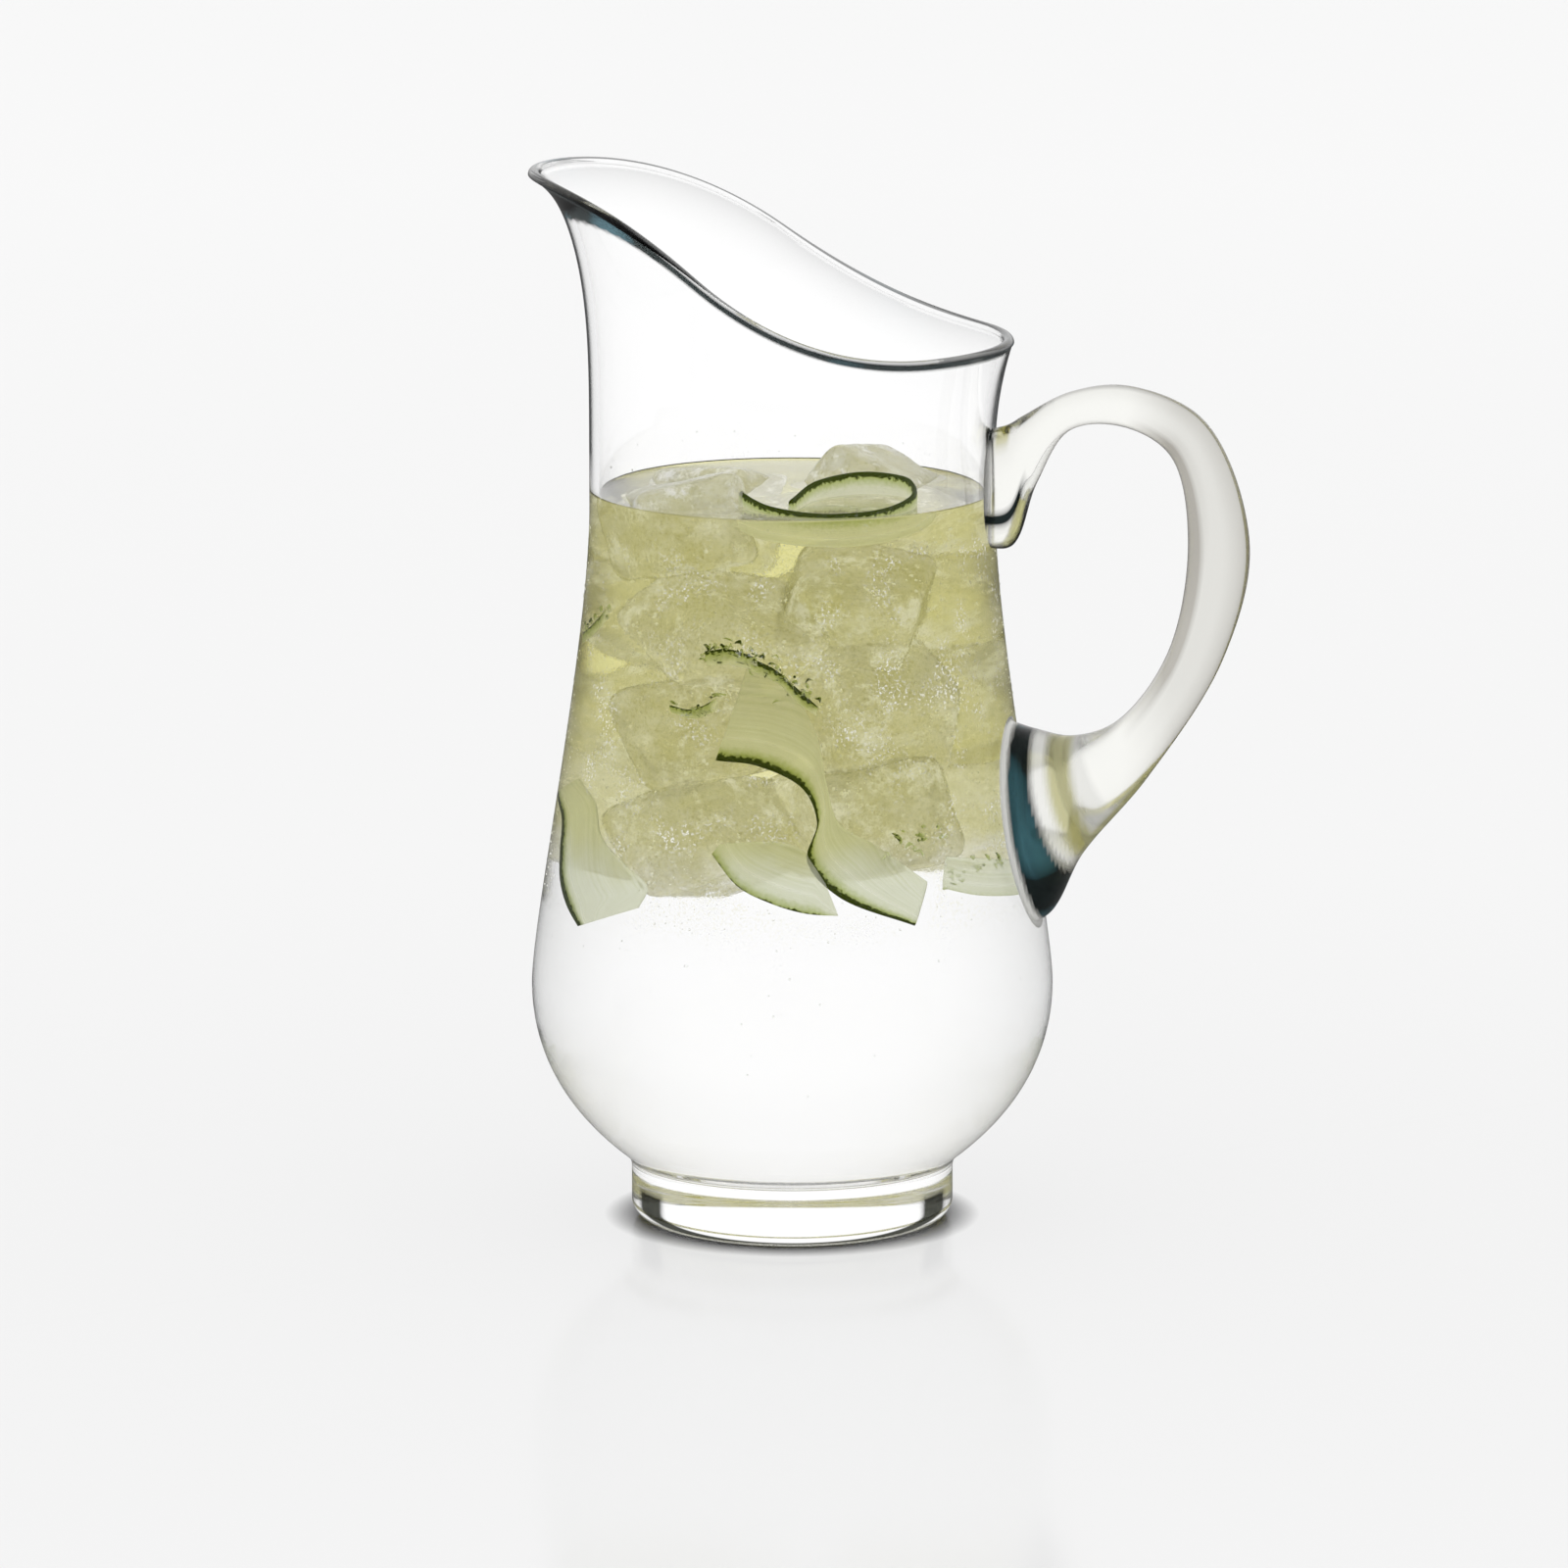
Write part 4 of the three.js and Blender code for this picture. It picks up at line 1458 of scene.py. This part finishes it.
@dataclass
class Scatter:
    """Fine drops or bubbles on a surface, thicker in patches and where the surface stores mist."""

    name: str
    density: float
    smallest: float
    largest: float
    patch: float
    patch_from: float
    patch_to: float
    flatness: float
    seed: int
    rarity: float = 4.0
    patch_detail: float = 3.0

    def tool(self, water: Material) -> GeometryTool:
        """Builds the tree that scatters drops where the surface is misted.

        Args:
            water: The drops' material.

        Returns:
            The tool, with the drops' density, sizes and seed as inputs.
        """
        tool = GeometryTool(self.name)
        tree = tool.tree
        mist = add(tree, "GeometryNodeInputNamedAttribute", {"Name": "mist"}, data_type="FLOAT")
        scale = add(tree, "ShaderNodeMath", {0: 1.0, 1: tool.size("Patch")}, operation="DIVIDE")
        patches = add(tree, "ShaderNodeTexNoise", {"Scale": scale, "Detail": self.patch_detail})
        thick = add(tree, "ShaderNodeMapRange", {
            "Value": patches, "From Min": tool.size("Patch from"), "From Max": tool.size("Patch to"),
        })
        wet = add(tree, "ShaderNodeMath", {0: mist, 1: thick}, operation="MULTIPLY")
        dense = add(tree, "ShaderNodeMath", {0: wet, 1: tool.size("Density")}, operation="MULTIPLY")
        seed = tool.size("Seed", "NodeSocketInt")
        spots = add(tree, "GeometryNodeDistributePointsOnFaces", {
            "Mesh": tool.start, "Density": dense, "Seed": seed,
        })
        ball = add(tree, "GeometryNodeMeshIcoSphere", {"Radius": 1.0, "Subdivisions": 1})
        smooth = add(tree, "GeometryNodeSetShadeSmooth", {"Geometry": ball})
        chance = add(tree, "FunctionNodeRandomValue", {2: 0.0, 3: 1.0, "Seed": seed}, data_type="FLOAT")
        few_large = add(tree, "ShaderNodeMath", {0: chance.outputs[1], 1: self.rarity}, operation="POWER")
        radius = add(tree, "ShaderNodeMapRange", {
            "Value": few_large, "To Min": tool.size("Smallest"), "To Max": tool.size("Largest"),
        })
        height = add(tree, "ShaderNodeMath", {0: radius, 1: tool.size("Flatness")}, operation="MULTIPLY")
        size = add(tree, "ShaderNodeCombineXYZ", {0: radius, 1: radius, 2: height})
        drops = add(tree, "GeometryNodeInstanceOnPoints", {
            "Points": spots.outputs["Points"], "Instance": smooth,
            "Rotation": spots.outputs["Rotation"], "Scale": size,
        })
        tool.end(drops, water)
        return tool

    def build(self, bases: list[Piece], water: Material, slot: Slot) -> Piece:
        """Builds the drops.

        Args:
            bases: The pieces that they stand on, which store their mist.
            water: Their material.
            slot: The record's slot that they belong to.

        Returns:
            The piece.
        """
        piece = linked(self.name, joined_mesh(self.name, bases, 0.0))
        self.tool(water).apply(piece, **vars(self))
        return seat(piece, slot)


@dataclass
class IceCubes:
    """The ice: each cube of the frame, melted round and dented."""

    shape: BowlShape
    level: float = LEVEL
    prefix: str = "ice_"
    wall_gap: float = 0.8 * MM
    bubble_depth: float = 8 * MM
    # How a cube melts
    merge: float = 0.01 * MM
    voxel: float = 1.1 * MM
    smoothing: float = 0.5
    smooth_passes: int = 8
    dent_depth: float = 1.5 * MM
    dent_size: float = 26 * MM
    pit_depth: float = 0.35 * MM
    pit_size: float = 6 * MM
    dent_gain: float = -2.0
    dent_middle: float = 0.7
    dent_detail: float = 1.0
    seed_step: float = 7.0
    # How the cubes are jumbled
    growth: tuple = (1.22, 1.45)
    top_growth: float = 1.08
    front: float = math.radians(-77)
    most_slide: float = 9 * MM
    slide_range: tuple = (-0.4, 1)
    inward: float = 3 * MM
    overlap: float = 4 * MM
    most_tilt: float = math.radians(36)
    most_spin: float = math.radians(45)

    def melt_tool(self, material: Material) -> GeometryTool:
        """Builds the tree that melts a cube: broad dents and fine pits along its normals.

        Args:
            material: The ice.

        Returns:
            The tool, with the sizes of the dents and pits and the seed as inputs.
        """
        tool = GeometryTool("melted_ice")
        tree = tool.tree
        place = add(tree, "GeometryNodeInputPosition")
        normal = add(tree, "GeometryNodeInputNormal")
        seed = tool.size("Seed")
        depth = 0.0
        for word in ("Dent", "Pit"):
            scale = add(tree, "ShaderNodeMath", {0: 1.0, 1: tool.size(f"{word} size")}, operation="DIVIDE")
            noise = add(tree, "ShaderNodeTexNoise", {
                "Vector": place, "W": seed, "Scale": scale, "Detail": self.dent_detail,
            }, noise_dimensions="4D")
            centred = add(tree, "ShaderNodeMath", {
                0: noise, 1: self.dent_gain, 2: self.dent_middle,
            }, operation="MULTIPLY_ADD")
            depth = add(tree, "ShaderNodeMath", {
                0: centred, 1: tool.size(f"{word} depth"), 2: depth,
            }, operation="MULTIPLY_ADD")
        offset = add(tree, "ShaderNodeVectorMath", {0: normal, "Scale": depth}, operation="SCALE")
        moved = add(tree, "GeometryNodeSetPosition", {"Geometry": tool.start, "Offset": offset})
        tool.end(moved, material)
        return tool

    def build(self, wet: Material, dry: Material) -> list[Piece]:
        """Builds every cube.

        Args:
            wet: The ice's finish under water.
            dry: Its finish in the air.

        Returns:
            The pieces, in the order of their nodes' names.
        """
        tool = self.melt_tool(wet)
        pieces = []
        for number, node in enumerate(sorted(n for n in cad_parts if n.startswith(self.prefix))):
            name = node.replace(self.prefix, "ice_cube_")
            piece = linked(name, joined_mesh(name, [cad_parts[node]], self.merge))
            self.jumble(piece, number)
            remesh = piece.modifiers.new("voxels", "REMESH")
            remesh.mode = "VOXEL"
            remesh.voxel_size = self.voxel
            smooth = piece.modifiers.new("melted_edges", "SMOOTH")
            smooth.factor = self.smoothing
            smooth.iterations = self.smooth_passes
            tool.apply(piece, **vars(self), seed=self.seed_step * number)
            piece.data.shade_smooth()
            self.press_to_wall(piece)
            self.dress(piece, dry)
            depth = self.level - points_of(piece)[:, 2]
            point_attributes(piece, mist=np.clip(depth / self.bubble_depth - 1, 0, 1))
            pieces.append(seat(piece, Slot.ICE, node))
        return pieces

    def jumble(self, piece: Piece, number: int) -> None:
        """Turns a cube about its own middle, slides it a little and grows it into the gaps beside it.

        Args:
            piece: The cube.
            number: Which cube it is, which settles its turns.
        """
        dice = np.random.default_rng(number)
        points = points_of(piece)
        middle = (points.min(axis=0) + points.max(axis=0)) / 2
        tilts = dice.uniform(-1, 1, 2) * self.most_tilt
        turn = Euler((*tilts, dice.uniform(-1, 1) * self.most_spin)).to_matrix()
        floats = points[:, 2].max() > self.level
        grown = (points - middle) * (self.top_growth if floats else dice.uniform(*self.growth, 3))
        out = middle[:2] / np.linalg.norm(middle[:2])
        square = np.array([-out[1], out[0]])
        forward = np.sign(square @ [math.cos(self.front), math.sin(self.front)])
        in_front = out @ [math.cos(self.front), math.sin(self.front)] > 0
        share = -float(in_front) if floats else dice.uniform(*self.slide_range)
        slide = share * self.most_slide * forward * square - (not floats) * self.inward * out
        moved = grown @ np.array(turn).T + middle + [*slide, 0]
        heights = moved[:, 2]
        over = 0 if floats else self.overlap
        spare = [points[:, 2].min() - self.overlap, points[:, 2].max() + over]
        moved[:, 2] = np.interp(heights, [heights.min(), heights.max()], spare)
        piece.data.vertices.foreach_set("co", moved.ravel())

    def press_to_wall(self, piece: Piece) -> None:
        """Flattens a cube where it would reach into the glass.

        Args:
            piece: The cube.
        """
        points = points_of(piece)
        radius = np.hypot(points[:, 0], points[:, 1])
        most = self.shape.radius_inside(points[:, 2]) - self.wall_gap
        points[:, :2] *= (np.minimum(radius, most) / radius)[:, None]
        piece.data.vertices.foreach_set("co", points.ravel())
        piece.data.update()

    def dress(self, piece: Piece, dry: Material) -> None:
        """Gives the faces that stand out of the water the finish of ice in the air.

        Args:
            piece: The cube.
            dry: The finish of ice in the air.
        """
        if max(v.co.z for v in piece.data.vertices) <= self.level:
            return
        piece.data.materials.append(dry)
        for face in piece.data.polygons:
            face.material_index = int(face.center.z > self.level)


def rounded(shares: np.ndarray) -> np.ndarray:
    """Gives how much of a ribbon's thickness is left at shares of its width, less at both rounded edges."""
    return np.sqrt(np.clip(1 - (2 * shares - 1) ** RIBBON_SQUARENESS, THINNEST_EDGE, 1))


def band_faces(steps: int, across: int) -> list[tuple[int, ...]]:
    """Gives the faces of a flat band whose rings run across its one side and back along the other.

    Args:
        steps: How many rings the band has.
        across: How many points a ring has on each side.

    Returns:
        The faces as point numbers, with both ends closed.
    """
    count = 2 * across
    faces = grid_faces(steps, count)
    for start in (0, (steps - 1) * count):
        for k in range(across - 1):
            far = count - 1 - k
            cap = (start + k, start + k + 1, start + far - 1, start + far)
            faces.append(cap[::-1] if start == 0 else cap)
    return faces


@dataclass(frozen=True)
class Strip:
    """One strip of a ribbon: its skin and flesh edges, as turns in degrees and heights in millimetres."""

    skin: tuple
    flesh: tuple
    depth: float = 0.0
    steps: int = 90
    across: int = 18

    def sheet(self) -> Points:
        """Gives the strip's grid of turns, in radians, and heights, in metres.

        Returns:
            The grid, along by across by two.
        """
        skin, flesh = (smooth_line(np.array(e, float), self.steps)[:, None] for e in (self.skin, self.flesh))
        shares = np.linspace(0, 1, self.across)[None, :, None]
        return (skin + (flesh - skin) * shares) * [math.radians(1), MM]


@dataclass(frozen=True)
class Shreds:
    """Small shreds of peel about a line on the glass, in turns in degrees and heights in millimetres."""

    path: tuple
    count: int
    seed: int
    depth: tuple = (0.5, 2.2)
    scatter: tuple = (1.5, 1.6)
    lean: tuple = (-1.2, 0.4)
    half_length: tuple = (0.25, 1.6)
    width: tuple = (0.25, 0.8)
    bend: float = 0.4
    bulge: float = 1.5
    ends: tuple = (0.8, 0.7)
    line_steps: int = 60
    steps: int = 9
    across: int = 4

    def strips(self) -> list[Strip]:
        """Gives a strip for each shred.

        Returns:
            The strips.
        """
        dice = np.random.default_rng(self.seed)
        line = smooth_line(np.array(self.path, float), self.line_steps)
        strips = []
        for _ in range(self.count):
            place = line[dice.integers(len(line))] + dice.normal(0, 1, 2) * self.scatter
            lean = dice.uniform(*self.lean)
            along = np.array([math.cos(lean), math.sin(lean)]) * dice.uniform(*self.half_length)
            wide = np.array([-along[1], along[0]]) / np.linalg.norm(along) * dice.uniform(*self.width)
            middle = place + dice.normal(0, self.bend, 2)
            start, stop = place - along * self.ends[0], place + along * self.ends[1]
            strips.append(Strip(
                (place - along, middle, place + along),
                (start + wide, middle + wide * self.bulge, stop + wide),
                depth=dice.uniform(*self.depth), steps=self.steps, across=self.across,
            ))
        return strips


@dataclass
class WallRibbon:
    """A ribbon of cucumber against the inside of the glass, in one strip or more."""

    name: str
    node: str
    strips: list[Strip]
    gap: float = 0.4 * MM
    thickness: float = RIBBON_THICKNESS
    fade_from: float = 0.8
    fade: float = 1.6
    broad: int = 10
    wiped: tuple = (1 * MM, 2 * MM)

    def wipe(self, body: Piece) -> None:
        """Takes the mist off the glass in front of the ribbon's broad strips.

        Args:
            body: The glass, which stores its mist.
        """
        points = points_of(body)
        radius = np.hypot(points[:, 0], points[:, 1])
        mist = np.zeros(len(points), np.float32)
        body.data.attributes["mist"].data.foreach_get("value", mist)
        for strip in (s for s in self.strips if s.across > self.broad):
            turn, height = strip.sheet().reshape(-1, 2).T
            for at in np.flatnonzero(mist):
                aside = (turn - math.atan2(points[at, 1], points[at, 0])) * radius[at]
                apart = np.hypot(aside, height - points[at, 2]).min()
                mist[at] *= np.clip((apart - self.wiped[0]) / self.wiped[1], 0, 1)
        body.data.attributes["mist"].data.foreach_set("value", mist)

    def build(self, shape: BowlShape, material: Material) -> Piece:
        """Builds the ribbon.

        Args:
            shape: The glass that it lies against.
            material: Its flesh and skin.

        Returns:
            The piece.
        """
        points, faces, from_skin = [], [], []
        for strip in self.strips:
            laid, depths = self.lay(strip, shape)
            faces += [tuple(k + len(points) for k in face) for face in band_faces(strip.steps, strip.across)]
            points += list(laid)
            from_skin += list(depths)
        piece = mesh_piece(self.name, np.array(points), faces, material)
        face_outwards(piece)
        point_attributes(piece, from_skin=np.array(from_skin))
        return seat(piece, Slot.CUCUMBER, self.node)

    def lay(self, strip: Strip, shape: BowlShape) -> tuple[Points, np.ndarray]:
        """Lays one strip against the glass.

        Args:
            strip: The strip.
            shape: The glass.

        Returns:
            Its points, and how far each is from the skin, in millimetres.
        """
        turn, height = np.moveaxis(strip.sheet(), 2, 0)
        shares = np.linspace(0, 1, strip.across)
        thinning = rounded(shares)[None, :]
        middle = shape.radius_inside(height) - self.gap - self.thickness / 2
        sides = []
        for side in (1, -1):
            radius = middle + side * thinning * self.thickness / 2
            sides.append(np.stack([radius * np.cos(turn), radius * np.sin(turn), height], axis=2))
        points = np.concatenate([sides[0], sides[1][:, ::-1]], axis=1).reshape(-1, 3)
        depth = strip.depth + np.linalg.norm(sides[0] - sides[0][:, :1], axis=2) / MM
        along = np.linspace(0, 1, strip.steps)[:, None]
        fade = np.clip((along - self.fade_from) / (1 - self.fade_from), 0, 1) ** 2
        return points, (np.hstack([depth, depth[:, ::-1]]) * (1 + self.fade * fade)).ravel()


@dataclass
class FloatingLoop:
    """The ribbon that floats on edge at the surface, its skin edge uppermost."""

    centre: tuple = (17 * MM, -17.5 * MM, LEVEL)
    size: float = 26 * MM
    drop: float = 5 * MM
    rise: float = 4.2 * MM
    skin_cut: float = 0.5 * MM
    tilt: float = 0.13
    turn: float = math.radians(13)
    thickness: float = RIBBON_THICKNESS
    steps: int = 140
    rows: int = 14
    path: tuple = (
        (-1.05, -0.1), (-0.72, -0.66), (-0.16, -0.94), (0.44, -0.78), (0.8, -0.2),
        (0.74, 0.42), (0.3, 0.62), (-0.2, 0.3), (-0.5, -0.42),
    )

    def build(self, material: Material) -> Piece:
        """Builds the loop.

        Args:
            material: Its flesh and skin.

        Returns:
            The piece.
        """
        line = smooth_line(np.array(self.path) * self.size, self.steps)
        along = np.gradient(line, axis=0)
        square = np.column_stack([-along[:, 1], along[:, 0]]) / np.linalg.norm(along, axis=1, keepdims=True)
        heights = np.linspace(-self.drop, self.rise, self.rows)
        shares = np.linspace(0, 1, self.rows)
        thinning = rounded(shares)
        sides = []
        for side in (1, -1):
            aside = side * self.thickness / 2 * thinning[None, :, None]
            flat = line[:, None, :] + square[:, None, :] * aside
            lifted = heights[None, :] + self.tilt * line[:, 1:]
            sides.append(np.dstack([flat, lifted]))
        loop = np.concatenate([sides[0], sides[1][:, ::-1]], axis=1).reshape(-1, 3)
        cosine, sine = math.cos(self.turn), math.sin(self.turn)
        points = np.column_stack([
            loop[:, 0] * cosine - loop[:, 1] * sine, loop[:, 0] * sine + loop[:, 1] * cosine, loop[:, 2],
        ]) + self.centre
        piece = mesh_piece("cucumber_loop_ribbon", points, band_faces(self.steps, self.rows), material)
        face_outwards(piece)
        below_skin = (self.rise + self.skin_cut - np.concatenate([heights, heights[::-1]])) / MM
        point_attributes(piece, from_skin=np.tile(below_skin, self.steps))
        return seat(piece, Slot.CUCUMBER, "cucumber_loop")


def ribbons() -> list[WallRibbon]:
    """Lists the ribbons that lie against the glass.

    Returns:
        The ribbons, each with its shreds.
    """
    wave = Strip(
        ((-97.3, 143), (-86, 142), (-74.4, 136), (-70.7, 126.5), (-73.3, 116), (-66, 106), (-47, 96.3)),
        ((-88.5, 172), (-78, 164), (-70.5, 151), (-68, 137), (-65, 126), (-56, 119.5), (-42.5, 108)),
    )
    curl = Strip(
        ((-97, 117), (-90, 108.5), (-82.7, 104.5), (-74, 101.5), (-66, 100.6)),
        ((-95, 120), (-87, 121), (-79, 121), (-73, 118), (-69, 110)),
        depth=1.6,
    )
    side = Strip(
        ((-167, 122), (-155, 117.5), (-152.5, 109.5), (-150, 102.5), (-144.5, 96.5), (-136.5, 91)),
        ((-146, 131), (-136, 126), (-131.5, 117.5), (-121.5, 111), (-114, 106), (-116, 100)),
        depth=-1.5,
    )
    tip = Strip(
        ((-38, 105.5), (-28, 102), (-14, 99), (0, 97)),
        ((-36, 114), (-26, 112), (-13, 109), (-1, 106)),
        depth=4.0,
    )
    twist = Strip(
        ((-89, 172), (-82, 169), (-76, 164), (-70, 158.5)),
        ((-88, 168), (-81, 165), (-76, 160), (-70.5, 156)),
        depth=0.2, across=8,
    )
    crumple = Strip(
        ((-102, 173), (-95, 174), (-87, 172)),
        ((-101, 169), (-94, 169.5), (-86, 168)),
        depth=0.9, across=8,
    )
    graze = Strip(
        ((-112, 157), (-105, 156.5), (-98, 160)),
        ((-111, 155), (-104, 154), (-97, 157)),
        depth=1.3, across=8,
    )
    torn = Strip(
        ((-160, 170), (-151, 174), (-142, 180)),
        ((-159, 167), (-150, 171), (-141, 177)),
        depth=0.9, across=8,
    )
    fold = Shreds(((-102, 172), (-92, 173), (-83, 169), (-71, 159)), count=90, seed=3).strips()
    scrape = Shreds(((-110, 158), (-103, 156), (-97, 160)), count=16, seed=8).strips()
    end = Shreds(((-158, 171), (-150, 174), (-140, 180)), count=20, seed=4).strips()
    deeper = (1.2, 3.0)
    crumbs = Shreds(((-54, 119), (-46, 120), (-37, 121)), count=16, seed=6, depth=deeper).strips()
    tip_crumbs = Shreds(((-40, 107), (-28, 109), (-14, 110)), count=20, seed=5, depth=deeper).strips()
    return [
        WallRibbon(f"cucumber_{name}_ribbon", f"cucumber_{name}", strips)
        for name, strips in (
            ("wave", [wave, twist, crumple, graze, *fold, *scrape]),
            ("curl", [curl]),
            ("side", [side, torn, *end]),
            ("tip", [tip, *tip_crumbs, *crumbs]),
        )
    ]


# Studio


@dataclass
class Studio:
    """The pale floor, the even light and the camera at the photograph's viewing angle."""

    camera_at: tuple = (634.8 * MM, -2727.1 * MM, 674.4 * MM)
    aim: tuple = (-1.4 * MM, -4.4 * MM, 126.0 * MM)
    lens_mm: float = 230.0
    sensor_mm: float = 36.0
    far_clip: float = 100.0
    floor_size: float = 40.0
    floor_gap: float = 0.2 * MM
    white: str = "#FFFFFF"
    through_light: float = 1.08
    through_dark: float = 0.6
    mirror_light: float = 1.05
    mirror_dark: float = 0.12
    tent_side: float = 0.7
    horizon: float = 0.12
    dim: float = 0.12
    dim_from: float = 0.3
    dim_to: float = 0.75

    def build(self) -> None:
        """Builds the floor, the light and the camera."""
        self.floor()
        self.light()
        self.camera()

    def floor(self) -> None:
        """Lays the floor, which the glass neither shows a second time nor mirrors."""
        half = self.floor_size / 2
        low = -self.floor_gap
        points = np.array([(-half, -half, low), (half, -half, low), (half, half, low), (-half, half, low)])
        floor = mesh_piece("floor", points, [(0, 1, 2, 3)], PaperFloor().material())
        floor.visible_transmission = False
        floor.visible_glossy = False

    def light(self) -> None:
        """Lights the scene evenly from all round: bright through the glass, dimmer in its reflections."""
        world = bpy.data.worlds.new("light_tent")
        bpy.context.scene.world = world
        world.use_nodes = True
        tree = world.node_tree
        tree.nodes.clear()
        path = add(tree, "ShaderNodeLightPath")
        heading = add(tree, "ShaderNodeTexCoord").outputs["Generated"]
        rise = add(tree, "ShaderNodeSeparateXYZ", {0: heading}).outputs["Z"]
        steep = add(tree, "ShaderNodeMath", {0: rise}, operation="ABSOLUTE")
        through = add(tree, "ShaderNodeMapRange", {
            "Value": steep, "From Min": self.tent_side, "From Max": 1.0,
            "To Min": self.through_light, "To Max": self.through_dark,
        })
        mirror = add(tree, "ShaderNodeMapRange", {
            "Value": rise, "From Min": -self.horizon, "From Max": self.horizon,
            "To Min": self.mirror_dark, "To Max": self.mirror_light,
        }, interpolation_type="SMOOTHSTEP")
        aside = add(tree, "ShaderNodeVectorMath", {
            0: heading, 1: Vector(self.camera_at).normalized(),
        }, operation="DOT_PRODUCT").outputs["Value"]
        dimming = add(tree, "ShaderNodeMapRange", {
            "Value": aside, "From Min": self.dim_from, "From Max": self.dim_to,
            "To Min": 1.0, "To Max": self.dim,
        })
        dimmed = add(tree, "ShaderNodeMath", {0: mirror, 1: dimming}, operation="MULTIPLY")
        mirrored = add(tree, "ShaderNodeMath", {
            0: path.outputs["Is Reflection Ray"], 1: path.outputs["Is Glossy Ray"],
        }, operation="MULTIPLY")
        inside = add(tree, "ShaderNodeMix", {0: mirrored, 2: through, 3: dimmed})
        spread = add(tree, "ShaderNodeMix", {
            0: path.outputs["Is Diffuse Ray"], 2: inside, 3: self.through_light,
        })
        light = add(tree, "ShaderNodeBackground", {"Color": linear(self.white), "Strength": spread})
        add(tree, "ShaderNodeOutputWorld", {"Surface": light})

    def camera(self) -> None:
        """Places the camera."""
        lens = bpy.data.cameras.new("camera")
        lens.lens = self.lens_mm
        lens.sensor_width = self.sensor_mm
        lens.clip_end = self.far_clip
        camera = linked("camera", lens)
        camera.location = self.camera_at
        heading = Vector(self.aim) - Vector(self.camera_at)
        camera.rotation_euler = heading.to_track_quat("-Z", "Y").to_euler()
        bpy.context.scene.camera = camera


def set_up_colour_and_light_paths() -> None:
    """Shows colours as they are and lets light cross every skin of the glass, water and ice."""
    scene = bpy.context.scene
    scene.view_settings.view_transform = "Standard"
    for name, most in LIGHT_PATHS.items():
        setattr(scene.cycles, name, most)


# The whole scene


def main() -> None:
    """Builds the studio, the glass and what stands in it."""
    logging.basicConfig(level=logging.INFO, format="%(name)s %(message)s")
    set_up_colour_and_light_paths()
    Studio().build()
    shape = BowlShape()
    body = BlownBody(shape).build(ClearGlass("soda_lime_glass_blown").material())
    # Painted shade: the foot's dark edge colour paints its dark ends where the wall is seen edge on
    pressed = ClearGlass(
        "soda_lime_glass_pressed", edge="#0E0F0B", edge_from=0.4, edge_to=0.46, edge_end=0.66,
    )
    Foot(shape).build(pressed.material())
    # Painted shade and refraction on the handle: its grey, edge, olive, shade and gleam colours
    drawn = ClearGlass(
        "soda_lime_glass_drawn", tint="#F1F1ED", grey="#99958D", edge="#827E76", edge_from=0.3, edge_to=1.0,
        smear=0.12, olive="#A9A56C", shade="#010202", gleam="#0C2C36", gleam_from=0.5, mirror="#505050",
    )
    Handle(shape).build(drawn.material())
    Drink(shape).build(
        InfusedWater("cucumber_infused_water").material(),
        InfusedWater("cucumber_water_surface", juice="#F0EED0", mirror="#FFFFFF").material(),
    )
    ice = IceCubes(shape).build(
        CloudyIce("cloudy_ice_in_water", ior=1.06).material(),
        CloudyIce("cloudy_ice_in_air", ior=1.31).material(),
    )
    Scatter(
        "air_bubbles", density=700000.0, smallest=0.12 * MM, largest=0.8 * MM, patch=14 * MM,
        patch_from=0.56, patch_to=0.66, flatness=0.7, seed=11,
    ).build(ice, TrappedAir().material(), Slot.ICE)
    cucumber = CucumberRibbon().material()
    for ribbon in ribbons():
        ribbon.build(shape, cucumber)
        ribbon.wipe(body)
    FloatingLoop().build(cucumber)
    Scatter(
        "condensation", density=400000.0, smallest=0.1 * MM, largest=0.42 * MM, patch=24 * MM,
        patch_from=0.35, patch_to=0.7, flatness=0.55, seed=5,
    ).build([body], DropOfWater().material(), Slot.WATER)


if __name__ == "__main__":
    main()
